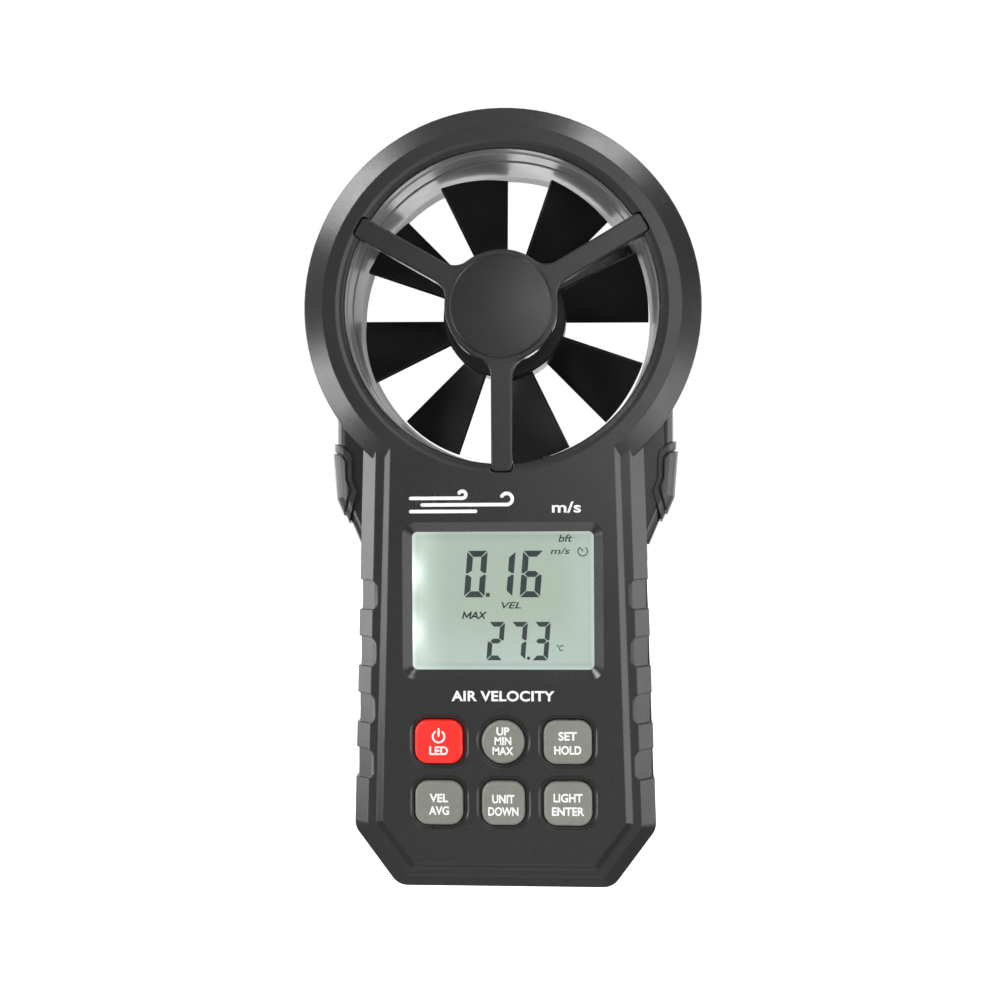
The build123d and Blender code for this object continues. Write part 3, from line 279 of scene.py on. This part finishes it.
# ------------------------------------------------------------------ display, window and inks
def lcd_material():
    """Grey-green reflective display with painted light: an even glow, a little more from its left
    edge.
    """
    half_width = 0.0222
    hot_spots_z = (0.0772, 0.0628)
    hot_spot_reach = 0.0042
    albedo = 0.29
    # emission strengths of the painted light: even glow, hot spots, left edge, rim, pale lower and
    # right part
    painted_even_light, painted_hot_spot_light, painted_left_edge_light, painted_rim_light, painted_pale_light = 0.67, 0.55, 0.22, 0.16, 0.065

    material, g, output = new_material("display")
    shader = g.node("BsdfPrincipled", {"Roughness": 0.6, "Specular IOR Level": 0.2})
    place = g.object_place()
    split = g.node("SeparateXYZ", {0: place})
    x, z = split.outputs[0], split.outputs[2]

    def distance(coordinate, centre):
        return g.math("ABSOLUTE", g.math("SUBTRACT", coordinate, centre))

    # base tint: greener towards the middle
    middle = g.times(
        g.ramp(distance(x, 0.002), span=(0.004, 0.022), out=(1.0, 0.0)),
        g.ramp(distance(z, SCREEN_Z + 0.002), span=(0.002, 0.017), out=(1.0, 0.0)))
    tint = g.mix(middle, lin(176, 197, 188), lin(176, 187, 165))
    cloud = g.mottle(place, out=(0.96, 1.04), scale=85.0, detail=3.0, rough=0.6)
    grain = g.mottle(place, out=(0.985, 1.015), smooth=False, scale=2600.0, detail=1.0)
    shade = g.times(g.times(cloud, grain), albedo)
    g.put(shader.inputs["Base Color"], g.scaled(tint, shade))
    tooth = g.noise(place, scale=3500.0, detail=1.0)
    g.put(shader.inputs["Normal"], g.bump(tooth, distance=0.000004, strength=0.3))

    # painted light, as emission: left edge with two hot spots, thin rim all round
    left = g.ramp(x, span=(-half_width, -0.0125), out=(1.0, 0.0))
    hot = None
    for spot_z in hot_spots_z:
        away = g.math("DIVIDE", g.math("SUBTRACT", z, spot_z), hot_spot_reach)
        bell = g.math("POWER", 2.718, g.times(g.times(away, away), -1.0))
        hot = bell if hot is None else g.math("ADD", hot, bell)
    left_strip = g.ramp(x, span=(-half_width, -0.0175), out=(1.0, 0.0))
    glow = g.math("MULTIPLY_ADD", g.times(left_strip, hot), painted_hot_spot_light, g.times(left, painted_left_edge_light))
    rim_x = g.ramp(g.math("ABSOLUTE", x), span=(0.0210, 0.0221))
    rim_z = g.ramp(distance(z, SCREEN_Z), span=(0.0157, 0.0168))
    glow = g.math("MULTIPLY_ADD", g.math("MAXIMUM", rim_x, rim_z), painted_rim_light, glow)

    # painted light: the lower part and the right edge glow a little paler and bluer
    low = g.ramp(z, span=(SCREEN_Z - 0.0165, SCREEN_Z - 0.002), out=(1.0, 0.0))
    right = g.ramp(x, span=(0.012, half_width))
    pale = g.math("MAXIMUM", low, right)
    strength = g.math("ADD", g.math("MULTIPLY_ADD", pale, painted_pale_light, glow), painted_even_light)
    tone = g.mix(pale, lin(180, 197, 184), lin(188, 202, 196))
    g.put(shader.inputs["Emission Color"], g.mix(glow, tone, lin(232, 240, 236)))
    g.put(shader.inputs["Emission Strength"], strength)
    g.put(output, shader)
    return material


def window_material():
    """Clear, slightly glossy acrylic with faint dust and hairlines."""
    material, g, output = new_material("window")
    place = g.object_place()
    clear = g.node("BsdfTransparent", {"Color": (0.985, 0.99, 0.985, 1.0)})
    smudge = g.mottle(place, out=(0.03, 0.09), scale=300.0, detail=3.0)
    hairlines = g.noise(g.stretched(place, scale=(1.0, 1.0, 24.0), rotation=(0.0, 0.5, 0.0)),
                        scale=500.0)
    gloss = g.node("BsdfGlossy", {
        "Roughness": smudge, "Normal": g.bump(hairlines, distance=0.000002, strength=0.15)})
    fresnel = g.node("Fresnel", {"IOR": 1.46})
    dust = g.node("BsdfDiffuse", {"Color": (0.8, 0.8, 0.78, 1.0)})
    dust_cover = g.ramp(g.noise(place, scale=1500.0), span=(0.62, 0.72), out=(0.0, 0.05))
    body = g.mix_shader(dust_cover, clear, dust)
    # only the outer face reflects: seen from inside, the pane would mirror past 43 degrees
    outer = g.math("SUBTRACT", 1.0, g.node("NewGeometry").outputs["Backfacing"])
    g.put(output, g.mix_shader(g.times(fresnel, outer), body, gloss))
    return material


def ink_material(name, colour, rough=0.45, chip=0.0):
    """Printed or liquid-crystal ink: uneven cover; chip is how far rubbed spots turn grey."""
    material, g, output = new_material(name)
    shader = g.node("BsdfPrincipled", {"Specular IOR Level": 0.35})
    place = g.object_place()
    cover = g.mottle(place, out=(0.96, 1.04), scale=1500.0, detail=3.0, rough=0.6)
    ink = g.scaled(lin(*colour)[:3], cover)
    chips = g.ramp(g.noise(place, scale=700.0, detail=4.0, rough=0.7),
                   span=(0.68, 0.78), out=(0.0, chip))
    g.put(shader.inputs["Base Color"], g.mix(chips, ink, lin(90, 90, 88)))
    g.put(shader.inputs["Roughness"],
          g.mottle(place, out=(rough - 0.06, rough + 0.06), scale=400.0))
    tooth = g.noise(place, scale=2400.0)
    g.put(shader.inputs["Normal"], g.bump(tooth, distance=0.000006, strength=0.5))
    g.put(output, shader)
    return material


materials = {name: surface(name, **finish) for name, finish in FINISHES.items()}
materials["display"] = lcd_material()
materials["window"] = window_material()
white_ink = ink_material("white_print", colour=(244, 244, 242), chip=0.25)
segment_ink = ink_material("segment_ink", colour=(45, 56, 60), rough=0.6)


def dress_parts():
    """Every loaded part takes the finish of its material slot."""
    slot_of = {}
    for row in frame["record"].get("subparts") or []:
        # a row may name its part and its slot in more than one way
        if isinstance(row, dict):
            slot = row.get("material_slot") or row.get("slot") or row.get("material")
            slot_of[row.get("node") or row.get("name")] = slot
    for name, part in frame["nodes"].items():
        slots = part.data.materials
        present = slots[0].name.split(".")[0] if slots else None
        finish = (materials.get(slot_of.get(name)) or materials.get(present)
                  or materials["case_plastic"])
        slots.clear()
        slots.append(finish)


dress_parts()


# ------------------------------------------------------------------ mesh pieces
INK_RAISE = 0.00003     # how far ink stands in front of the face it is on


def add_object(name, mesh, material, body):
    made = bpy.data.objects.new(name, mesh)
    scene.collection.objects.link(made)
    mesh.materials.append(material)
    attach(made, body)
    return made


def piece(name, verts, faces, material, body, smooth=False):
    mesh = bpy.data.meshes.new(name)
    mesh.from_pydata(verts, [], faces)
    mesh.update()
    bm = bmesh.new()
    bm.from_mesh(mesh)
    bmesh.ops.recalc_face_normals(bm, faces=bm.faces)
    bm.to_mesh(mesh)
    bm.free()
    if smooth:
        mesh.shade_smooth()
    return add_object(name, mesh, material, body)


def plates(name, outlines, y, material, body):
    """Flat raised shapes given in mm as (x, z) outlines, standing on the face at y (metres)."""
    verts, faces = [], []
    for outline in outlines:
        n, b = len(outline), len(verts)
        for plate_y in (y - INK_RAISE, y):
            verts += [(x * MM, plate_y, z * MM) for x, z in outline]
        faces.append(list(range(b, b + n)))
        faces.append(list(range(b + 2 * n - 1, b + n - 1, -1)))
        for i in range(n):
            j = (i + 1) % n
            faces.append([b + i, b + j, b + n + j, b + n + i])
    piece(name, verts, faces, material, body)


def stroke(points, width):
    """Outline of an open line in (x, z) mm, drawn with a round-ended pen."""
    half = width / 2
    end_steps = 6
    left, right = [], []
    for i, (x, z) in enumerate(points):
        x_before, z_before = points[max(i - 1, 0)]
        x_after, z_after = points[min(i + 1, len(points) - 1)]
        dx, dz = x_after - x_before, z_after - z_before
        length = math.hypot(dx, dz)
        side_x, side_z = -dz / length * half, dx / length * half
        left.append((x + side_x, z + side_z))
        right.append((x - side_x, z - side_z))

    def round_end(centre, start):
        x, z = centre
        first = math.atan2(start[1] - z, start[0] - x)
        angles = [first - math.pi * k / end_steps for k in range(1, end_steps)]
        return [(x + half * math.cos(a), z + half * math.sin(a)) for a in angles]

    return left + round_end(points[-1], left[-1]) + right[::-1] + round_end(points[0], right[0])


def arc(centre_x, centre_z, radius, start, end, steps):
    """Points of an arc between two angles in degrees."""
    angles = [math.radians(start + (end - start) * i / steps) for i in range(steps + 1)]
    return [(centre_x + radius * math.cos(a), centre_z + radius * math.sin(a)) for a in angles]


def text_piece(name, words, x, z, cap, width, y, material, body,
               bold=0.02, lean=0.0, tracking=1.0):
    """Raised lettering: centre, capital height and width in mm, on the face at y (metres)."""
    curve = bpy.data.curves.new(name + "_curve", "FONT")
    curve.body = "H"
    curve.size = 1.0
    probe = bpy.data.objects.new(name + "_probe", curve)
    scene.collection.objects.link(probe)

    def probe_mesh():
        bpy.context.view_layer.update()
        depsgraph = bpy.context.evaluated_depsgraph_get()
        return bpy.data.meshes.new_from_object(probe.evaluated_get(depsgraph))

    # a plain H gives the font's capital height
    mesh = probe_mesh()
    font_cap = max(v.co.y for v in mesh.vertices)
    bpy.data.meshes.remove(mesh)

    curve.body = words
    curve.offset = bold
    curve.shear = lean
    curve.space_character = tracking
    curve.resolution_u = 5
    curve.extrude = 0.5
    mesh = probe_mesh()
    bpy.data.objects.remove(probe)

    across = [v.co.x for v in mesh.vertices]
    scale_x = width / (max(across) - min(across))
    scale_z = cap / font_cap
    middle = (max(across) + min(across)) / 2
    for v in mesh.vertices:
        font_x, font_y, font_z = v.co
        v.co = ((x + (font_x - middle) * scale_x) * MM,
                y - (font_z + 0.5) * INK_RAISE,
                (z + (font_y - font_cap / 2) * scale_z) * MM)
    mesh.materials.clear()
    mesh.name = name
    add_object(name, mesh, material, body)


# ------------------------------------------------------------------ display contents, in mm
ON_SCREEN = dict(y=SCREEN_Y, material=segment_ink, body="housing")
DIGIT_LEAN = math.tan(math.radians(4.7))
MIDDLE_Z = SCREEN_Z / MM


def leaned(outline, x, z):
    return [(x + px + pz * DIGIT_LEAN, z + pz) for px, pz in outline]


def segment_shapes(width, height, bar, gap):
    """Upright outlines of a digit's seven segments; a is the top, b to f run clockwise, g is
    the middle. bar is their thickness and gap the space between neighbours."""
    mitre = gap / math.sqrt(2)
    half = height / 2
    inner = bar + mitre * 0.2
    tip = bar * 0.42 + mitre
    shoulder = bar + mitre * 0.6
    upper_left = [(0, height - mitre - bar * 0.1), (bar, height - bar - mitre),
                  (bar, half + bar / 2 + gap * 0.4), (bar * 0.30, half + gap * 0.55),
                  (0, half + gap * 0.55 + bar * 0.12)]
    lower_left = [(0, mitre + bar * 0.1), (0, half - gap * 0.55 - bar * 0.12),
                  (bar * 0.30, half - gap * 0.55), (bar, half - bar / 2 - gap * 0.4),
                  (bar, bar + mitre)]

    def mirrored(outline):
        return [(width - x, z) for x, z in outline][::-1]

    return {
        "a": [(mitre, height), (width - mitre, height),
              (width - inner, height - bar), (inner, height - bar)],
        "b": mirrored(upper_left),
        "c": mirrored(lower_left),
        "d": [(mitre, 0), (inner, bar), (width - inner, bar), (width - mitre, 0)],
        "e": lower_left,
        "f": upper_left,
        "g": [(tip, half), (shoulder, half + bar / 2), (width - shoulder, half + bar / 2),
              (width - tip, half), (width - shoulder, half - bar / 2),
              (shoulder, half - bar / 2)],
    }


def readout(name, digits, x, z, pitch, shape, point):
    """Digits given as the segments they light, and a point as (x, rise, width, height)."""
    shapes = segment_shapes(**shape)
    outlines = []
    for i, lit in enumerate(digits):
        outlines += [leaned(shapes[segment], x + pitch * i, z) for segment in lit]
    point_x, rise, width, height = point
    corners = [(0, 0), (width, 0), (width, height), (0, height)]
    outlines.append(leaned(corners, point_x, z + rise))
    plates(name, outlines, **ON_SCREEN)


# letters of MAX: (left edge, pen lines in x, z)
MAX_LETTERS = (
    (0.0, ([(0, 0), (0, 1.5)], [(0, 1.5), (0.85, 0.3)],
           [(0.85, 0.3), (1.7, 1.5)], [(1.7, 1.5), (1.7, 0)])),
    (2.1, ([(0, 0), (0.75, 1.5)], [(0.75, 1.5), (1.5, 0)], [(0.3, 0.45), (1.2, 0.45)])),
    (3.95, ([(0, 0), (1.3, 1.5)], [(0, 1.5), (1.3, 0)])),
)


def word_max():
    """Drawn with a pen because the font's M closes up when it is this small."""
    left, base, slant, half_cap, pen = -9.73, MIDDLE_Z - 4.45, 0.25, 0.75, 0.38
    outlines = []
    for letter_x, lines in MAX_LETTERS:
        for line in lines:
            points = [(left + letter_x + x + slant * (z - half_cap), base + z) for x, z in line]
            outlines.append(stroke(points, pen))
    plates("word_max", outlines, **ON_SCREEN)


def timer_symbol():
    """Open ring with a short hand."""
    x, z, pen = 19.5, MIDDLE_Z + 11.9, 0.26
    ring = arc(x, z, radius=1.15, start=130, end=410, steps=26)
    hand = [(x + 0.05, z + 0.05), (x - 0.55, z + 0.75)]
    plates("timer_symbol", [stroke(ring, pen), stroke(hand, pen)], **ON_SCREEN)


readout("speed_digits", ("abcdef", "bc", "acdefg"), x=-9.6, z=MIDDLE_Z + 0.7, pitch=6.82,
        shape=dict(width=5.0, height=11.4, bar=1.48, gap=0.24), point=(-4.25, 0.12, 0.95, 0.95))
readout("temperature_digits", ("abged", "abc", "abgcd"), x=-4.19, z=MIDDLE_Z - 14.7, pitch=5.58,
        shape=dict(width=3.9, height=9.4, bar=1.18, gap=0.20), point=(5.75, 0.15, 0.7, 0.75))
text_piece("unit_bft", "bft", x=15.3, z=MIDDLE_Z + 15.1, cap=1.7, width=3.4,
           lean=0.22, bold=0.012, **ON_SCREEN)
text_piece("unit_metres", "m/s", x=14.0, z=MIDDLE_Z + 12.0, cap=1.45, width=4.7,
           lean=0.22, bold=0.01, **ON_SCREEN)
text_piece("word_vel", "VEL", x=2.03, z=MIDDLE_Z - 1.25, cap=1.5, width=4.8,
           lean=0.25, bold=0.016, **ON_SCREEN)
word_max()
text_piece("unit_celsius", "°C", x=13.9, z=MIDDLE_Z - 11.7, cap=1.35, width=1.7,
           lean=0.2, bold=0.015, **ON_SCREEN)
timer_symbol()


# ------------------------------------------------------------------ printing on the case, in mm
ON_CASE = dict(y=CASE_Y, material=white_ink, body="housing")
PRINT_BOLD = 0.028


def wind_symbol():
    """Three bars, the upper two ending in a curl that turns up and back."""
    left, pen = -22.2, 0.85
    curls = (       # start x, bar z, curl centre x, curl radius, steps
        (left, 95.5, -9.6, 0.85, 16),
        (-19.4, 93.9, 1.2, 1.35, 18),
    )
    outlines = []
    for start_x, z, curl_x, radius, steps in curls:
        curl = arc(curl_x, z + radius, radius, start=-90, end=150, steps=steps)
        outlines.append(stroke([(start_x, z)] + curl, pen))
    outlines.append(stroke([(left, 92.3), (-6.4, 92.3)], pen))
    plates("wind_symbol", outlines, **ON_CASE)


text_piece("caption_print", "AIR VELOCITY", x=0.0, z=47.5, cap=2.3, width=25.0,
           bold=PRINT_BOLD, tracking=1.05, **ON_CASE)
text_piece("unit_print", "m/s", x=15.6, z=93.2, cap=2.5, width=7.0, **ON_CASE)
wind_symbol()


# ------------------------------------------------------------------ printing on the keys, in mm
LEGENDS = {     # key: (words, height above the key's middle, width)
    "power_key": [("LED", -2.06, 4.5)],
    "max_min_key": [("UP", 2.7, 3.1), ("MIN", 0.37, 4.05), ("MAX", -2.06, 5.0)],
    "hold_key": [("SET", 1.57, 4.45), ("HOLD", -1.8, 6.5)],
    "average_key": [("VEL", 1.3, 4.5), ("AVG", -1.74, 4.9)],
    "unit_key": [("UNIT", 1.14, 5.35), ("DOWN", -1.84, 7.3)],
    "light_key": [("LIGHT", 1.5, 7.0), ("ENTER", -1.74, 7.8)],
}
LEGEND_CAP = 1.9
THREE_LINE_CAP = 1.78


def key_face(key):
    """Middle of a key in mm, and where its printing goes."""
    lo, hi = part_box(key)
    on_key = dict(y=lo.y, material=white_ink, body=key + "_cap")
    return (lo.x + hi.x) / 2 / MM, (lo.z + hi.z) / 2 / MM, on_key


def key_legends():
    for key, lines in LEGENDS.items():
        x, z, on_key = key_face(key)
        cap = THREE_LINE_CAP if len(lines) == 3 else LEGEND_CAP
        for i, (words, rise, width) in enumerate(lines):
            text_piece(f"{key}_legend_{i + 1}", words, x=x, z=z + rise, cap=cap, width=width,
                       bold=PRINT_BOLD, **on_key)


def power_symbol():
    x, z, on_key = key_face("power_key")
    ring = arc(x, z + 1.35, radius=1.42, start=128, end=412, steps=30)
    bar = [(x, z + 1.6), (x, z + 3.15)]
    plates("power_symbol", [stroke(ring, width=0.42), stroke(bar, width=0.5)], **on_key)


key_legends()
power_symbol()


# ------------------------------------------------------------------ smooth skin over the domed hub cap
def turned(name, profile, centre, steps, material, body):
    """Lathe about Y: profile is (y, radius) pairs, starting on the axis and going outwards."""
    centre_x, centre_z = centre
    verts = [(centre_x, profile[0][0], centre_z)]
    for y, radius in profile[1:]:
        for k in range(steps):
            a = 2 * math.pi * k / steps
            verts.append((centre_x + radius * math.cos(a), y, centre_z + radius * math.sin(a)))
    faces = [[0, 1 + k, 1 + (k + 1) % steps] for k in range(steps)]
    for i in range(len(profile) - 2):
        inner, outer = 1 + i * steps, 1 + (i + 1) * steps
        for k in range(steps):
            n = (k + 1) % steps
            faces.append([inner + k, outer + k, outer + n, inner + n])
    made = piece(name, verts, faces, material, body, smooth=True)
    made.data.set_sharp_from_angle(angle=math.radians(30))


def hub_cap_skin():
    cap_radius, dome_rise = 0.0121, 0.0005
    edge_depth, edge_width = 0.00045, 0.00043       # rounding at the rim of the dome
    skirt_depth = 0.0024
    stand_off = 0.00003
    dome_steps, edge_steps = 24, 6

    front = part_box("front_guard")[0].y - stand_off
    shaft_lo, shaft_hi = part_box("impeller_shaft")
    axis = ((shaft_lo.x + shaft_hi.x) / 2, (shaft_lo.z + shaft_hi.z) / 2)
    sphere = (cap_radius ** 2 + dome_rise ** 2) / (2 * dome_rise)
    profile = []
    for i in range(dome_steps + 1):
        radius = cap_radius * i / dome_steps
        profile.append((front + sphere - math.sqrt(sphere ** 2 - radius ** 2), radius))
    for i in range(1, edge_steps + 1):
        a = math.radians(90 * i / edge_steps)
        profile.append((front + dome_rise + edge_depth * (1 - math.cos(a)),
                        cap_radius + edge_width * math.sin(a)))
    profile.append((front + skirt_depth, cap_radius + edge_width))
    turned("hub_cap_skin", profile, axis, 128, materials["guard_plastic"], "housing")


hub_cap_skin()


# ------------------------------------------------------------------ foam pad of the battery bay
def foam_pad():
    """A block with softened edges and corners and slightly wavy faces."""
    lo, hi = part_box("battery_foam")
    centre = (lo + hi) / 2
    cells = (26, 14, 7)
    face_sink, edge_sink, wave = 0.00012, 0.00028, 0.00006
    bm = bmesh.new()
    grid = {}

    def vert(index):
        if index not in grid:
            i, j, k = index
            share = Vector([u / n for u, n in zip(index, cells)])
            point = Vector([lo[a] + (hi[a] - lo[a]) * share[a] for a in range(3)])
            sides = sum(u in (0, n) for u, n in zip(index, cells))
            ripple = math.sin(i * 1.7 + j * 2.3) * math.sin(k * 1.9 + i * 0.6)
            sink = face_sink + edge_sink * (sides - 1) + wave * (ripple + 1)
            point += (centre - point).normalized() * sink
            grid[index] = bm.verts.new(point)
        return grid[index]

    # the two axes each pair of faces spans, and the axis it is square to
    for across, along, fixed in ((0, 1, 2), (0, 2, 1), (1, 2, 0)):
        for u in range(cells[across]):
            for v in range(cells[along]):
                for side in (0, cells[fixed]):
                    corners = []
                    for du, dv in ((0, 0), (1, 0), (1, 1), (0, 1)):
                        index = {across: u + du, along: v + dv, fixed: side}
                        corners.append(vert((index[0], index[1], index[2])))
                    bm.faces.new(corners)
    bmesh.ops.recalc_face_normals(bm, faces=bm.faces)
    mesh = bpy.data.meshes.new("foam_pad")
    bm.to_mesh(mesh)
    bm.free()
    mesh.shade_smooth()
    pad = add_object("foam_pad", mesh, materials["foam"], "housing")
    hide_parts("battery_foam")


foam_pad()


# ------------------------------------------------------------------ floor
def floor_material():
    """Pale and matt; the camera sees it with an added glow."""
    material, g, output = new_material("pale_floor")
    place = g.object_place()
    tint = g.mix(g.mottle(place, out=(0.0, 1.0), scale=6.0, detail=3.0),
                 (0.80, 0.80, 0.80, 1), (0.84, 0.84, 0.84, 1))
    relief = g.bump(g.noise(place, scale=400.0, detail=3.0), distance=0.0002, strength=0.2)
    matt = g.node("BsdfPrincipled", {"Base Color": tint, "Roughness": 0.75, "Normal": relief})
    glow = g.node("Emission", {"Color": (1, 1, 1, 1), "Strength": 0.78})
    seen = g.node("LightPath").outputs["Is Camera Ray"]
    glowing = g.node("AddShader", {0: matt, 1: glow})
    g.put(output, g.mix_shader(seen, matt, glowing))
    return material


def build_floor():
    half = 3.0
    z = -0.0685      # low enough for the battery door to slide right off above it
    mesh = bpy.data.meshes.new("floor")
    corners = [(-half, -half, z), (half, -half, z), (half, half, z), (-half, half, z)]
    mesh.from_pydata(corners, [], [(0, 1, 2, 3)])
    floor = bpy.data.objects.new("floor", mesh)
    scene.collection.objects.link(floor)
    mesh.materials.append(floor_material())
    floor.visible_diffuse = False
    floor.visible_glossy = False
    floor.visible_shadow = False


build_floor()


# ------------------------------------------------------------------ camera
def build_camera():
    """In front of the face, a little to the right, with a slight roll."""
    target = Vector((-0.00057, -0.0171, 0.095))
    roll = math.radians(-0.33)
    lens = bpy.data.cameras.new("camera")
    camera = bpy.data.objects.new("camera", lens)
    scene.collection.objects.link(camera)
    scene.camera = camera
    lens.lens = 44.34
    lens.sensor_width = 36.0
    lens.clip_start = 0.01
    lens.clip_end = 20.0
    camera.location = (0.01653, -0.3171, 0.095)
    aim = (target - camera.location).to_track_quat("-Z", "Y")
    camera.rotation_mode = "QUATERNION"
    camera.rotation_quaternion = aim @ Quaternion((0, 0, 1), roll)


build_camera()


# ------------------------------------------------------------------ light
# soft boxes: direction (right, back, up), half width and soft edge in degrees, radiance
SOFT_BOXES = [
    ((-0.60, -0.52, 0.60), 6.5, 6, 15.5),
    ((0.36, -0.55, 0.755), 4.5, 4.5, 15.5),
    ((-0.76, -0.63, -0.16), 6, 5, 12.0),
    ((0.645, -0.72, -0.25), 6, 9, 4.5),
    ((-1.0, 0.02, 0.12), 12, 12, 5.0),
    ((0.97, -0.22, 0.0), 8, 22, 3.4),
    ((0.0, -0.42, 0.90), 9, 14, 0.4),
    ((-0.05, -0.45, -0.89), 14, 14, 1.6),
    ((0.18, -0.96, 0.16), 8, 7, 2.6),
    ((-0.05, -0.96, -0.27), 6, 9, 0.45),
    ((0.0, 0.96, -0.28), 12, 14, 2.6),
    ((-0.76, 0.64, 0.08), 14, 10, 2.2),
    ((0.82, 0.56, 0.08), 14, 10, 1.6),
]


def build_world():
    """Soft boxes over an ambient that brightens to the back; the camera sees plain white."""
    white = (1.0, 1.0, 1.0, 1.0)
    world = bpy.data.worlds.new("studio")
    scene.world = world
    world.use_nodes = True
    g = Graph(world.node_tree)
    output = g.node("OutputWorld")
    view = g.node("TexCoord").outputs["Generated"]
    total = None
    for way, half, soft_edge, radiance in SOFT_BOXES:
        facing = g.dot(view, tuple(Vector(way).normalized()))
        outer, inner = math.cos(math.radians(half + soft_edge)), math.cos(math.radians(half))
        lobe = g.ramp(facing, span=(outer, inner), out=(0.0, radiance))
        total = lobe if total is None else g.math("ADD", total, lobe)
    backward = g.node("SeparateXYZ", {0: view}).outputs[1]
    ambient = g.ramp(backward, span=(0.25, 0.95), out=(0.16, 1.1))
    total = g.math("ADD", total, ambient)
    lighting = g.node("Background", {"Color": white, "Strength": total})
    backdrop = g.node("Background", {"Color": white, "Strength": 1.02})
    seen = g.node("LightPath").outputs["Is Camera Ray"]
    g.put(output.inputs["Surface"], g.mix_shader(seen, lighting, backdrop))


build_world()
scene.view_settings.view_transform = "Standard"
